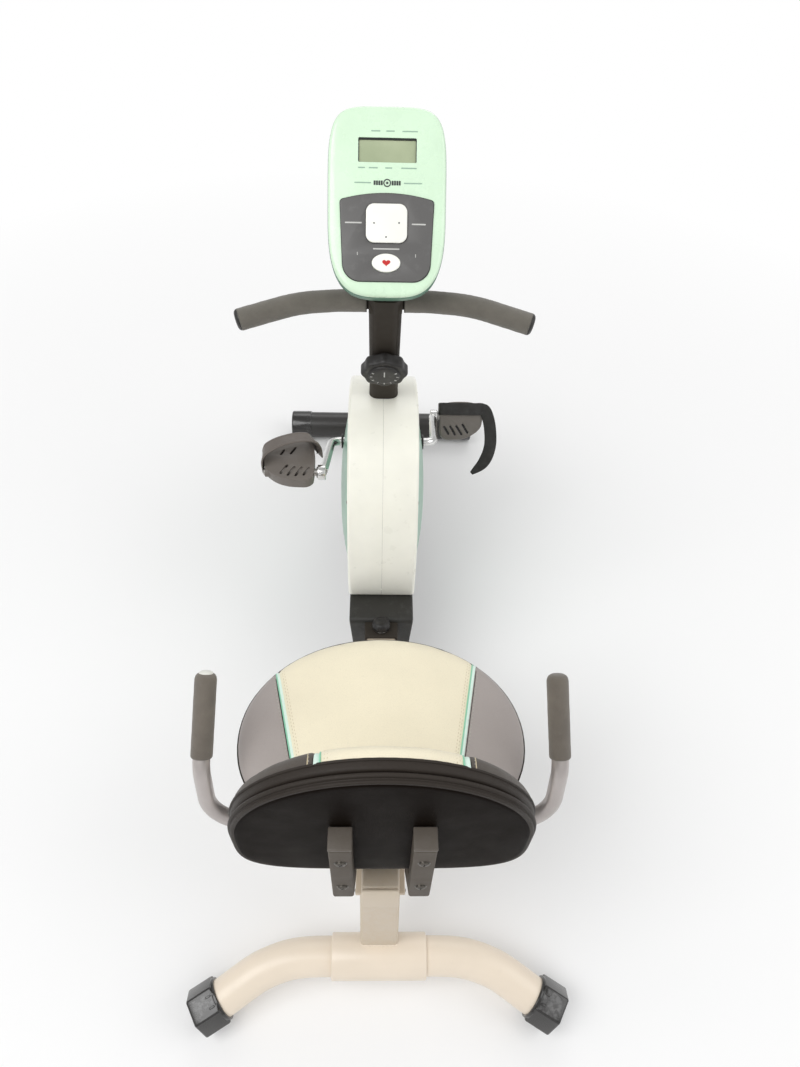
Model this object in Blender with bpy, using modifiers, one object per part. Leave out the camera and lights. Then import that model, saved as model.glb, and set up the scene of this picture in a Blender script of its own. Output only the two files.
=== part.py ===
"""Recumbent exercise bike, modelled as separate pieces that come apart on a bench.

Metres, +Z up, +Y towards the front stabiliser, +X to the rider's right.
The origin is on the floor under the middle of the bike.
"""
import math

import bpy
import bmesh
from mathutils import Matrix, Vector

for old in list(bpy.data.objects):
    bpy.data.objects.remove(old, do_unlink=True)

# ------------------------------------------------------------------ driving dimensions
GAP = 0.0003

# feet and stabilisers
REAR_Y, REAR_Z = -0.625, 0.070          # middle of the swept rear stabiliser
REAR_TUBE_R = 0.031
REAR_END = (0.283, -0.6952, 0.0368)      # end of its right arm
REAR_CAP_R = 0.036
FRONT_Y, FRONT_Z = 0.693, 0.036
FRONT_TUBE_R = 0.034
FRONT_HALF = 0.2405
WHEEL_R, WHEEL_W = 0.022, 0.013
WHEEL_Y, WHEEL_Z, WHEEL_X = 0.708, 0.0255, 0.223

# inclined seat rail
RAIL_TILT = math.radians(13.0)
RAIL_0 = Vector((0.0, -0.549, 0.312))   # point of the rail axis above the rear leg
RAIL_W, RAIL_H = 0.055, 0.045
LEG_W, LEG_D = 0.0617, 0.040

# drive
CRANK_Y, CRANK_Z = 0.255, 0.404
CRANK_ARM = 0.165
CRANK_REST = math.radians(23.9)         # left arm above the horizontal, towards the rider
CRANK_ROD_R = 0.0085
EYE_X = 0.1110
PEDAL_X = 0.1735
PEDAL_W, PEDAL_L, PEDAL_T = 0.0930, 0.100, 0.024
FLY_Y, FLY_Z, FLY_R = 0.392, 0.262, 0.070
PULLEY_R, FLY_PULLEY_R = 0.085, 0.020
BELT_X0, BELT_X1 = 0.045, 0.051
MAG_Y, MAG_Z = 0.447, 0.330             # pivot of the magnet arm

# enclosure
SHROUD_C = (0.235, 0.300)
SHROUD_REAR, SHROUD_FRONT, SHROUD_UP = 0.250, 0.270, 0.275
SHROUD_X = 0.065
SHROUD_BOTTOM = 0.235
SEAM_X = 0.0
WALL = 0.003
COVER_C, COVER_R = (0.215, 0.315), 0.165
COVER_X = 0.084

# upright, handlebar and console
UP_TILT = math.radians(20.2)
UP_0 = Vector((0.0, 0.150, 0.808))      # point of the upright's axis at handlebar height
UP_W, UP_D = 0.052, 0.056
BAR_R, FOAM_R = 0.0125, 0.0170
BAR_HALF = 0.2245
KNOB_R = 0.040
CON_C = Vector((0.0, 0.171, 0.969))
CON_TILT = math.radians(45.0)
CON_W, CON_H = 0.1716, 0.267

# seat and backrest
SEAT_C = (0.0, -0.410)
SEAT_A, SEAT_B = 0.212, 0.160
SEAT_TOP, SEAT_LOW = 0.461, 0.3953
BACK_W, BACK_MID, BACK_UP, BACK_DOWN = 0.364, 0.600, 0.172, 0.115
BACK_REAR = -0.615
LEG_X = 0.048
TUBE = 0.027
HANDLE_X, HANDLE_R, GRIP_R = 0.2507, 0.0122, 0.0164

# ------------------------------------------------------------------ collections, materials
scene = bpy.context.scene
parts = bpy.data.collections.new("recumbent_exercise_bike")
helpers = bpy.data.collections.new("recumbent_exercise_bike_cutters")
scene.collection.children.link(parts)
scene.collection.children.link(helpers)


def material(name, rgb, rough, metal=0.0):
    mat = bpy.data.materials.new(name)
    mat.use_nodes = True
    shader = mat.node_tree.nodes["Principled BSDF"]
    shader.inputs["Base Color"].default_value = (*rgb, 1.0)
    shader.inputs["Roughness"].default_value = rough
    shader.inputs["Metallic"].default_value = metal
    mat.diffuse_color = (*rgb, 1.0)
    return mat


CREAM = (0.83, 0.76, 0.64)
TAN = (0.60, 0.51, 0.41)
GRAPHITE = (0.085, 0.078, 0.070)
BLACK = (0.015, 0.014, 0.013)
IVORY = (0.89, 0.89, 0.74)
TEAL = (0.25, 0.42, 0.33)
MINT = (0.66, 0.93, 0.74)
FOAM = (0.135, 0.120, 0.105)
CHROME = (0.78, 0.78, 0.77)
STEEL = (0.50, 0.49, 0.48)

# ------------------------------------------------------------------ frames
RAIL_DIR = Vector((0, math.cos(RAIL_TILT), -math.sin(RAIL_TILT)))
RAIL_UP = Vector((0, math.sin(RAIL_TILT), math.cos(RAIL_TILT)))
UP_DIR = Vector((0, -math.sin(UP_TILT), math.cos(UP_TILT)))
UP_FWD = Vector((0, math.cos(UP_TILT), math.sin(UP_TILT)))
CON_V = Vector((0, math.sin(CON_TILT), math.cos(CON_TILT)))
CON_N = Vector((0, -math.cos(CON_TILT), math.sin(CON_TILT)))


def frame(origin, ax, ay, az):
    m = Matrix.Identity(4)
    for col, v in enumerate((ax, ay, az, origin)):
        for row in range(3):
            m[row][col] = v[row]
    return m


X = Vector((1, 0, 0))
RAIL_M = frame(RAIL_0, X, RAIL_DIR, RAIL_UP)
UP_M = frame(UP_0, X, UP_FWD, UP_DIR)
CON_M = frame(CON_C, X, CON_V, CON_N)
SIDE_M = frame(Vector((0, 0, 0)), Vector((0, 1, 0)), Vector((0, 0, 1)), X)
FLAT_M = Matrix.Identity(4)


# ------------------------------------------------------------------ outlines
def superellipse(a, b_up, b_down, p_up, p_down, count, c=(0.0, 0.0)):
    """Closed outline, upper and lower halves with their own height and exponent."""
    pts = []
    for i in range(count):
        t = 2 * math.pi * i / count
        s, k = math.sin(t), math.cos(t)
        p = p_up if s >= 0 else p_down
        b = b_up if s >= 0 else b_down
        pts.append((c[0] + a * math.copysign(abs(k) ** (2 / p), k),
                    c[1] + b * math.copysign(abs(s) ** (2 / p), s)))
    return pts


def rounded(points, radii, steps=4):
    """Polygon with its corners rounded by arcs."""
    out = []
    n = len(points)
    if not isinstance(radii, (list, tuple)):
        radii = [radii] * n
    for i in range(n):
        p0, p1, p2 = (Vector(points[(i + k) % n]) for k in (-1, 0, 1))
        r = radii[i]
        if r <= 0:
            out.append(tuple(p1))
            continue
        a, b = (p0 - p1).normalized(), (p2 - p1).normalized()
        half = math.acos(max(-1, min(1, a.dot(b)))) / 2
        d = r / math.tan(half)
        centre = p1 + (a + b).normalized() * (r / math.sin(half))
        s, e = p1 + a * d - centre, p1 + b * d - centre
        ang0 = math.atan2(s.y, s.x)
        turn = (math.atan2(e.y, e.x) - ang0 + math.pi) % (2 * math.pi) - math.pi
        for k in range(steps + 1):
            t = ang0 + turn * k / steps
            out.append((centre.x + r * math.cos(t), centre.y + r * math.sin(t)))
    return out


def rect(w, h, r, c=(0.0, 0.0), steps=4):
    x, y = w / 2, h / 2
    pts = [(c[0] - x, c[1] - y), (c[0] + x, c[1] - y), (c[0] + x, c[1] + y), (c[0] - x, c[1] + y)]
    return rounded(pts, r, steps)


def circle(r, count, c=(0.0, 0.0)):
    return [(c[0] + r * math.cos(2 * math.pi * i / count), c[1] + r * math.sin(2 * math.pi * i / count))
            for i in range(count)]


def smooth_path(points, radii, steps=6):
    """3-D polyline with its inner corners rounded by arcs."""
    pts = [Vector(p) for p in points]
    out = [pts[0]]
    for i in range(1, len(pts) - 1):
        r = radii[i - 1] if isinstance(radii, (list, tuple)) else radii
        a, b = (pts[i - 1] - pts[i]).normalized(), (pts[i + 1] - pts[i]).normalized()
        half = math.acos(max(-1, min(1, a.dot(b)))) / 2
        d = r / math.tan(half)
        centre = pts[i] + (a + b).normalized() * (r / math.sin(half))
        s, e = pts[i] + a * d - centre, pts[i] + b * d - centre
        sweep = math.pi - 2 * half
        for k in range(steps + 1):
            t = k / steps
            v = (s * math.sin((1 - t) * sweep) + e * math.sin(t * sweep)) / math.sin(sweep)
            out.append(centre + v)
    out.append(pts[-1])
    return out


# ------------------------------------------------------------------ builders
def finish_object(name, mesh, matrix, mat, helper):
    obj = bpy.data.objects.new(name, mesh)
    obj.matrix_world = matrix
    (helpers if helper else parts).objects.link(obj)
    if helper:
        obj.hide_render = True
        obj.display_type = 'WIRE'
    elif mat:
        mesh.materials.clear()
        mesh.materials.append(mat)
    mesh.shade_smooth()
    mesh.set_sharp_from_angle(angle=math.radians(32))
    return obj


def mesh_from_curve(name, curve, matrix, mat, helper):
    temp = bpy.data.objects.new(name + "_curve", curve)
    scene.collection.objects.link(temp)
    temp.matrix_world = matrix
    graph = bpy.context.evaluated_depsgraph_get()
    mesh = bpy.data.meshes.new_from_object(temp.evaluated_get(graph))
    mesh.name = name
    bpy.data.objects.remove(temp, do_unlink=True)
    bpy.data.curves.remove(curve)
    bm = bmesh.new()
    bm.from_mesh(mesh)
    bmesh.ops.remove_doubles(bm, verts=bm.verts, dist=0.00002)
    bmesh.ops.recalc_face_normals(bm, faces=bm.faces)
    bm.to_mesh(mesh)
    bm.free()
    return finish_object(name, mesh, matrix, mat, helper)


def plate(name, outlines, thick, matrix, mat=None, helper=False, at=0.0):
    """Flat outline (with holes) extruded to both sides of the frame's XY plane, moved `at` along Z."""
    curve = bpy.data.curves.new(name, 'CURVE')
    curve.dimensions = '2D'
    curve.fill_mode = 'BOTH'
    curve.extrude = thick / 2
    for outline in outlines:
        spline = curve.splines.new('POLY')
        spline.points.add(len(outline) - 1)
        for point, (x, y) in zip(spline.points, outline):
            point.co = (x, y, 0, 1)
        spline.use_cyclic_u = True
    return mesh_from_curve(name, curve, matrix @ Matrix.Translation((0, 0, at)), mat, helper)


def tube(name, points, radius, mat=None, helper=False, res=4):
    """Round bar along a computed path."""
    curve = bpy.data.curves.new(name, 'CURVE')
    curve.dimensions = '3D'
    curve.bevel_depth = radius
    curve.bevel_resolution = res
    curve.use_fill_caps = True
    origin = Vector(points[0])
    spline = curve.splines.new('POLY')
    spline.points.add(len(points) - 1)
    for point, p in zip(spline.points, points):
        point.co = (*(Vector(p) - origin), 1)
    return mesh_from_curve(name, curve, Matrix.Translation(origin), mat, helper)


def box(name, size, matrix, centre=(0, 0, 0), mat=None, helper=False, bevel=0.0):
    mesh = bpy.data.meshes.new(name)
    bm = bmesh.new()
    bmesh.ops.create_cube(bm, size=1.0)
    bmesh.ops.scale(bm, vec=size, verts=bm.verts)
    bmesh.ops.translate(bm, vec=centre, verts=bm.verts)
    bm.to_mesh(mesh)
    bm.free()
    obj = finish_object(name, mesh, matrix, mat, helper)
    if bevel:
        soften(obj, bevel, 2)
    return obj


def rod(name, r, p0, p1, mat=None, helper=False, segments=24, r2=None):
    """Cylinder or cone from p0 to p1."""
    p0, p1 = Vector(p0), Vector(p1)
    axis = p1 - p0
    mesh = bpy.data.meshes.new(name)
    bm = bmesh.new()
    bmesh.ops.create_cone(bm, cap_ends=True, segments=segments, radius1=r,
                          radius2=r if r2 is None else r2, depth=axis.length)
    bm.to_mesh(mesh)
    bm.free()
    turn = axis.to_track_quat('Z', 'Y').to_matrix().to_4x4()
    return finish_object(name, mesh, Matrix.Translation((p0 + p1) / 2) @ turn, mat, helper)


def lathe(name, profile, origin, axis, mat=None, helper=False, steps=32, closed=False):
    """Turned piece: (radius, height) points run down the outer side, height along the axis."""
    mesh = bpy.data.meshes.new(name)
    edges = [(i, i + 1) for i in range(len(profile) - 1)]
    if closed:
        edges.append((len(profile) - 1, 0))
    mesh.from_pydata([(r, 0, h) for r, h in profile], edges, [])
    obj = bpy.data.objects.new(name, mesh)
    turn = Vector(axis).to_track_quat('Z', 'Y').to_matrix().to_4x4()
    obj.matrix_world = Matrix.Translation(origin) @ turn
    (helpers if helper else parts).objects.link(obj)
    if helper:
        obj.hide_render = True
        obj.display_type = 'WIRE'
    elif mat:
        mesh.materials.append(mat)
    screw = obj.modifiers.new("turn", 'SCREW')
    screw.axis = 'Z'
    screw.angle = 2 * math.pi
    screw.steps = steps
    screw.render_steps = steps
    screw.use_merge_vertices = True
    screw.merge_threshold = 0.00001
    screw.use_smooth_shade = True
    return obj


def soften(obj, width, segments=2, angle=40):
    mod = obj.modifiers.new("edges", 'BEVEL')
    mod.width = width
    mod.segments = segments
    mod.limit_method = 'ANGLE'
    mod.angle_limit = math.radians(angle)
    return obj


def combine(obj, other, operation):
    mod = obj.modifiers.new(operation.lower(), 'BOOLEAN')
    mod.operation = operation
    mod.solver = 'EXACT'
    mod.object = other
    return obj


def cut(obj, *others):
    for other in others:
        combine(obj, other, 'DIFFERENCE')
    return obj


def weld(obj, *others):
    for other in others:
        combine(obj, other, 'UNION')
    return obj


def set_origin(obj, point):
    """Move the object's origin without moving its geometry."""
    shift = obj.matrix_world.inverted() @ Vector(point)
    obj.data.transform(Matrix.Translation(-shift))
    obj.matrix_world = Matrix.Translation(obj.matrix_world.to_3x3() @ shift) @ obj.matrix_world
    return obj


def rail_point(y):
    """Point of the rail's axis at a given Y."""
    return RAIL_0 + RAIL_DIR * ((y - RAIL_0.y) / RAIL_DIR.y)


def rail_s(y):
    return (y - RAIL_0.y) / RAIL_DIR.y


# ------------------------------------------------------------------ rear stabiliser and feet
mat_cream = material("cream_paint", CREAM, 0.38)
mat_tan = material("tan_paint", TAN, 0.42)
mat_foot = material("foot_black", BLACK, 0.32)


def rear_path():
    right = []
    knots = [(0.10, 0.0), (0.135, 0.03), (0.165, 0.12), (0.197, 0.29), (0.225, 0.52), (0.252, 0.76)]
    for x, t in knots:
        right.append((x, REAR_Y + (REAR_END[1] - REAR_Y) * t, REAR_Z + (REAR_END[2] - REAR_Z) * t))
    right.append(REAR_END)
    left = [(-x, y, z) for x, y, z in reversed(right)]
    return left + right


rear_points = rear_path()
tube("rear_stabilizer", rear_points, REAR_TUBE_R, mat_cream, res=4)
end_dir = (Vector(rear_points[-1]) - Vector(rear_points[-2])).normalized()
for side, sign in (("left", -1), ("right", 1)):
    d = Vector((end_dir.x * sign, end_dir.y, end_dir.z))
    tip = Vector((REAR_END[0] * sign, REAR_END[1], REAR_END[2]))
    cap = rod("rear_foot_" + side, REAR_CAP_R, tip - d * 0.030, tip + d * 0.0165, mat_foot, segments=12)
    soften(cap, 0.004, 1, 60)
    cut(cap, rod("rear_foot_bore_" + side, REAR_TUBE_R + GAP + 0.0002, tip - d * 0.080, tip + d * GAP, helper=True, segments=24))
    cut(cap, box("rear_foot_floor_" + side, (0.4, 0.4, 0.1), FLAT_M, tuple(tip + Vector((0, 0, -tip.z - 0.05))), helper=True))

# ------------------------------------------------------------------ rear leg and rail
leg_bottom = Vector((0, -0.618, 0.10)) + Vector((0, math.cos(RAIL_TILT), -math.sin(RAIL_TILT))) * (LEG_D / 2)
leg_top = -(leg_bottom - RAIL_0).dot(RAIL_UP) - RAIL_H / 2 - GAP
LEG_M = frame(leg_bottom, X, RAIL_DIR, RAIL_UP)
leg = plate("rear_leg", [rect(LEG_W, LEG_D, 0.006)], leg_top + 0.034, LEG_M, mat_tan, at=(leg_top - 0.034) / 2)
weld(leg, box("leg_flange", (0.074, 0.072, 0.006), LEG_M, (0, 0, leg_top - 0.003), helper=True, bevel=0.0015))
saddle = rod("leg_saddle", REAR_TUBE_R + 0.0055, (-0.078, REAR_Y, REAR_Z), (0.078, REAR_Y, REAR_Z), helper=True, segments=32)
cut(saddle, box("saddle_trim", (0.2, 0.1, 0.1), FLAT_M, (0, REAR_Y, REAR_Z - 0.054), helper=True))
weld(leg, saddle)
cut(leg, rod("leg_seat_bore", REAR_TUBE_R + 2 * GAP, (-0.12, REAR_Y, REAR_Z), (0.12, REAR_Y, REAR_Z), helper=True, segments=32))

s_front = rail_s(0.045)
rail = box("seat_rail", (RAIL_W, s_front + 0.052, RAIL_H), RAIL_M, (0, (s_front - 0.052) / 2, 0), material("rail_paint", TAN, 0.4))
soften(rail, 0.004, 2)
cut(rail, box("rail_hollow", (RAIL_W - 0.006, s_front + 0.08, RAIL_H - 0.006), RAIL_M, (0, (s_front + 0.08) / 2 - 0.048, 0), helper=True))

# ------------------------------------------------------------------ main frame
mat_frame = material("frame_graphite", GRAPHITE, 0.45)
sleeve_w, sleeve_h = RAIL_W + 2 * (0.004 + GAP), RAIL_H + 2 * (0.0045 + GAP)
s0, s1 = rail_s(-0.112), rail_s(0.085)
frame_obj = box("main_frame", (sleeve_w, s1 - s0, sleeve_h), RAIL_M, (0, (s0 + s1) / 2, 0), mat_frame)
soften(frame_obj, 0.003, 2)
cut(frame_obj, box("sleeve_bore", (RAIL_W + 2 * GAP, s_front + 0.001 - s0 + 0.05, RAIL_H + 2 * GAP), RAIL_M,
                   (0, (s_front + 0.001 + s0 - 0.05) / 2, 0), helper=True))
# main tube from the sleeve to the front stabiliser
a = rail_point(0.060)
b = Vector((0, 0.722, 0.0925))
tube_dir = (b - a).normalized()
tube_up = Vector((0, -tube_dir.z, tube_dir.y))
TUBE_M = frame(a, X, tube_dir, tube_up)
tube_len = (b - a).length
main_tube = box("main_tube", (0.050, tube_len, 0.050), TUBE_M, (0, tube_len / 2, 0), helper=True)
soften(main_tube, 0.006, 2)
front_saddle = rod("front_saddle", FRONT_TUBE_R + 0.006, (-0.062, FRONT_Y, FRONT_Z), (0.062, FRONT_Y, FRONT_Z), helper=True, segments=32)
cut(front_saddle, box("front_saddle_trim", (0.2, 0.12, 0.1), FLAT_M, (0, FRONT_Y, FRONT_Z - 0.054), helper=True))
mast = plate("mast", [[(0.243, 0.150), (0.300, 0.145), (0.300, 0.425), (0.243, 0.425)]], 0.030, SIDE_M, helper=True)
stub = box("upright_stub", (UP_W - 0.0066, UP_D - 0.0066, 0.105), UP_M, (0, 0, -0.383), helper=True)
shell = rod("crank_shell", 0.0240, (-0.038, CRANK_Y, CRANK_Z), (0.038, CRANK_Y, CRANK_Z), helper=True, segments=22)
fly_plate = plate("fly_plate", [rounded([(0.360, 0.120), (0.440, 0.112), (0.468, 0.300), (0.466, 0.352), (0.438, 0.352),
                                         (0.376, 0.290), (0.372, 0.240)], [0, 0, 0.03, 0.012, 0.012, 0.014, 0.02])],
                  0.006, SIDE_M, helper=True, at=-0.0275)
fly_foot = box("fly_foot", (0.012, 0.060, 0.020), FLAT_M, (-0.0245, 0.400, 0.150), helper=True)
pivot = rod("magnet_pivot", 0.0040, (-0.028, MAG_Y, MAG_Z), (-0.0160, MAG_Y, MAG_Z), helper=True, segments=16)
weld(frame_obj, main_tube, front_saddle, mast, stub, shell, fly_plate, fly_foot, pivot)
cut(frame_obj,
    rod("front_saddle_bore", FRONT_TUBE_R + 2 * GAP, (-0.12, FRONT_Y, FRONT_Z), (0.12, FRONT_Y, FRONT_Z), helper=True, segments=32),
    rod("crank_shell_bore", 0.0187, (-0.05, CRANK_Y, CRANK_Z), (0.05, CRANK_Y, CRANK_Z), helper=True, segments=22),
    rod("fly_axle_hole", 0.0063, (-0.040, FLY_Y, FLY_Z), (-0.020, FLY_Y, FLY_Z), helper=True, segments=20))
KNOB2_Y = -0.090
knob2_at = rail_point(KNOB2_Y)
cut(frame_obj, rod("rail_knob_hole", 0.0052, knob2_at + RAIL_UP * 0.0200, knob2_at + RAIL_UP * 0.05, helper=True, segments=16))

# rail clamp knob
top = sleeve_h / 2
mat_knob = material("knob_black", (0.03, 0.028, 0.026), 0.5)
rail_knob = lathe("rail_knob", [(0.0, top + 0.0205), (0.0120, top + 0.0200), (0.0160, top + 0.0165), (0.0175, top + 0.0090),
                                (0.0170, top + 0.0045), (0.0100, top + 0.0030), (0.0100, top + 0.0006), (0.0048, top + 0.0006),
                                (0.0048, RAIL_H / 2 + GAP), (0.0, RAIL_H / 2 + GAP)],
                  knob2_at, RAIL_UP, mat_knob, steps=16)

# ------------------------------------------------------------------ front stabiliser, feet and wheels
mat_black_tube = material("front_black", (0.02, 0.019, 0.018), 0.4)
rod("front_stabilizer", FRONT_TUBE_R, (-0.2050, FRONT_Y, FRONT_Z), (0.2050, FRONT_Y, FRONT_Z), mat_black_tube, segments=32)
mat_wheel = material("wheel_grey", (0.10, 0.10, 0.10), 0.6)
for side, sign in (("left", -1), ("right", 1)):
    cap = rod("front_foot_" + side, 0.0367, (sign * 0.1880, FRONT_Y, FRONT_Z), (sign * FRONT_HALF, FRONT_Y, FRONT_Z), mat_foot, segments=20)
    soften(cap, 0.003, 1, 60)
    cut(cap, rod("front_foot_bore_" + side, FRONT_TUBE_R + 0.0006, (sign * 0.15, FRONT_Y, FRONT_Z), (sign * (0.2050 + GAP), FRONT_Y, FRONT_Z), helper=True, segments=32),
        box("front_foot_floor_" + side, (0.2, 0.2, 0.1), FLAT_M, (sign * 0.21, FRONT_Y, -0.05), helper=True))
    slot_w = WHEEL_W + 0.0016
    slot = rod("wheel_slot_" + side, WHEEL_R + 0.0012, (sign * WHEEL_X - slot_w / 2, WHEEL_Y, WHEEL_Z), (sign * WHEEL_X + slot_w / 2, WHEEL_Y, WHEEL_Z), helper=True, segments=18)
    cut(cap, slot)
    weld(cap, rod("wheel_axle_" + side, 0.0030, (sign * WHEEL_X - 0.012, WHEEL_Y, WHEEL_Z), (sign * WHEEL_X + 0.012, WHEEL_Y, WHEEL_Z), helper=True, segments=10))
    h = WHEEL_W / 2
    lathe("transport_wheel_" + side, [(WHEEL_R - 0.003, h), (WHEEL_R, h - 0.003), (WHEEL_R, 0.003 - h), (WHEEL_R - 0.003, -h), (0.0034, -h), (0.0034, h)],
          (sign * WHEEL_X, WHEEL_Y, WHEEL_Z), (1, 0, 0), mat_wheel, steps=20, closed=True)

# ------------------------------------------------------------------ crank, bearings, pulley, belt
mat_crank = material("crank_steel", CHROME, 0.22, 1.0)
mat_steel = material("bright_steel", STEEL, 0.35, 1.0)
axis = Vector((0, CRANK_Y, CRANK_Z))
back_up = Vector((0, -math.cos(CRANK_REST), math.sin(CRANK_REST)))
left_eye = axis + back_up * CRANK_ARM
right_eye = axis - back_up * CRANK_ARM
crank_points = smooth_path([(-EYE_X, left_eye.y, left_eye.z), (-0.1035, CRANK_Y, CRANK_Z), (0.1035, CRANK_Y, CRANK_Z),
                            (EYE_X, right_eye.y, right_eye.z)], 0.020, 6)
crank = tube("crank", crank_points, CRANK_ROD_R, mat_crank, res=3)
for side, sign, eye in (("left", -1, left_eye), ("right", 1, right_eye)):
    weld(crank, rod("crank_eye_" + side, 0.0140, (sign * 0.1055, eye.y, eye.z), (sign * 0.1205, eye.y, eye.z), helper=True, segments=24))
    cut(crank, rod("crank_eye_hole_" + side, 0.0070 + GAP, (sign * 0.1000, eye.y, eye.z), (sign * 0.1300, eye.y, eye.z), helper=True, segments=20))
set_origin(crank, axis)

for side, sign in (("left", -1), ("right", 1)):
    lathe("crank_bearing_" + side, [(0.0182, 0.006), (0.0182, -0.006), (CRANK_ROD_R + GAP, -0.006), (CRANK_ROD_R + GAP, 0.006)],
          (sign * 0.0315, CRANK_Y, CRANK_Z), (1, 0, 0), mat_steel, steps=18, closed=True)

mat_pulley = material("pulley_black", (0.03, 0.03, 0.03), 0.5)
lathe("drive_pulley", [(0.0160, 0.0060), (0.0160, 0.0040), (0.0740, 0.0020), (0.0740, 0.0040), (PULLEY_R, 0.0040),
                       (PULLEY_R, -0.0040), (0.0740, -0.0040), (0.0740, -0.0020), (0.0160, -0.0040),
                       (0.0160, -0.0090), (CRANK_ROD_R + GAP, -0.0090), (CRANK_ROD_R + GAP, 0.0060)],
      (0.048, CRANK_Y, CRANK_Z), (1, 0, 0), mat_pulley, steps=28, closed=True)


def belt_outline(r_big, r_small, count=22):
    """Open belt line around the two pulleys."""
    c1, c2 = Vector((CRANK_Y, CRANK_Z)), Vector((FLY_Y, FLY_Z))
    d = c2 - c1
    base = math.atan2(d.y, d.x)
    lean = math.acos((r_big - r_small) / d.length)
    pts = []
    for k in range(count + 1):
        t = base + lean + (2 * math.pi - 2 * lean) * k / count
        pts.append((c1.x + r_big * math.cos(t), c1.y + r_big * math.sin(t)))
    for k in range(9):
        t = base - lean + 2 * lean * k / 8
        pts.append((c2.x + r_small * math.cos(t), c2.y + r_small * math.sin(t)))
    return pts


plate("drive_belt", [belt_outline(PULLEY_R + 0.0034, FLY_PULLEY_R + 0.0034, 26), belt_outline(PULLEY_R + 0.0012, FLY_PULLEY_R + 0.0012, 26)],
      BELT_X1 - BELT_X0, SIDE_M, material("belt_rubber", (0.02, 0.02, 0.02), 0.7), at=(BELT_X0 + BELT_X1) / 2)

# ------------------------------------------------------------------ flywheel and brake
lathe("flywheel", [(0.0170, 0.0520), (FLY_PULLEY_R, 0.0520), (FLY_PULLEY_R, 0.0440), (0.0110, 0.0430), (0.0110, 0.0130),
                   (0.0200, 0.0110), (0.0220, 0.0060), (0.0560, 0.0060), (0.0580, 0.0100), (FLY_R, 0.0100), (FLY_R, -0.0100), (0.0580, -0.0100),
                   (0.0560, -0.0060), (0.0220, -0.0060), (0.0200, -0.0120), (0.0110, -0.0200), (0.0063, -0.0200), (0.0063, 0.0520)],
      (0, FLY_Y, FLY_Z), (1, 0, 0), material("flywheel_iron", (0.20, 0.20, 0.21), 0.4, 0.9), steps=26, closed=True)
lathe("flywheel_axle", [(0.0, 0.0590), (0.0095, 0.0590), (0.0095, 0.0530), (0.0060, 0.0530), (0.0060, -0.0310), (0.0095, -0.0310),
                        (0.0095, -0.0370), (0.0, -0.0370)], (0, FLY_Y, FLY_Z), (1, 0, 0), mat_steel, steps=14)


def brake_arm():
    """Arc-shaped arm hanging from its pivot beside the flywheel's rim."""
    c = Vector((FLY_Y, FLY_Z))
    inner, outer = [], []
    for k in range(9):
        t = math.radians(48 + 82 * k / 8)
        outer.append((c.x + 0.082 * math.cos(t), c.y + 0.082 * math.sin(t)))
        inner.append((c.x + 0.052 * math.cos(t), c.y + 0.052 * math.sin(t)))
    body = outer + inner[::-1]
    return body


arm = plate("magnet_arm", [brake_arm()], 0.004, SIDE_M, material("brake_arm", (0.45, 0.45, 0.46), 0.4, 1.0), at=-0.0200)
arm_boss = rod("magnet_arm_boss", 0.0120, (-0.0220, MAG_Y, MAG_Z), (-0.0180, MAG_Y, MAG_Z), helper=True, segments=20)
weld(arm, arm_boss)
cut(arm, rod("magnet_arm_hole", 0.0043, (-0.03, MAG_Y, MAG_Z), (-0.01, MAG_Y, MAG_Z), helper=True, segments=16))
set_origin(arm, (0, MAG_Y, MAG_Z))


def magnet_outline():
    c = Vector((FLY_Y, FLY_Z))
    outer = [(c.x + 0.078 * math.cos(math.radians(t)), c.y + 0.078 * math.sin(math.radians(t))) for t in range(72, 127, 9)]
    inner = [(c.x + 0.058 * math.cos(math.radians(t)), c.y + 0.058 * math.sin(math.radians(t))) for t in range(72, 127, 9)]
    return outer + inner[::-1]


plate("brake_magnet", [magnet_outline()], 0.0045, SIDE_M, material("magnet", (0.08, 0.08, 0.09), 0.5, 0.5), at=-0.01545)

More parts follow.
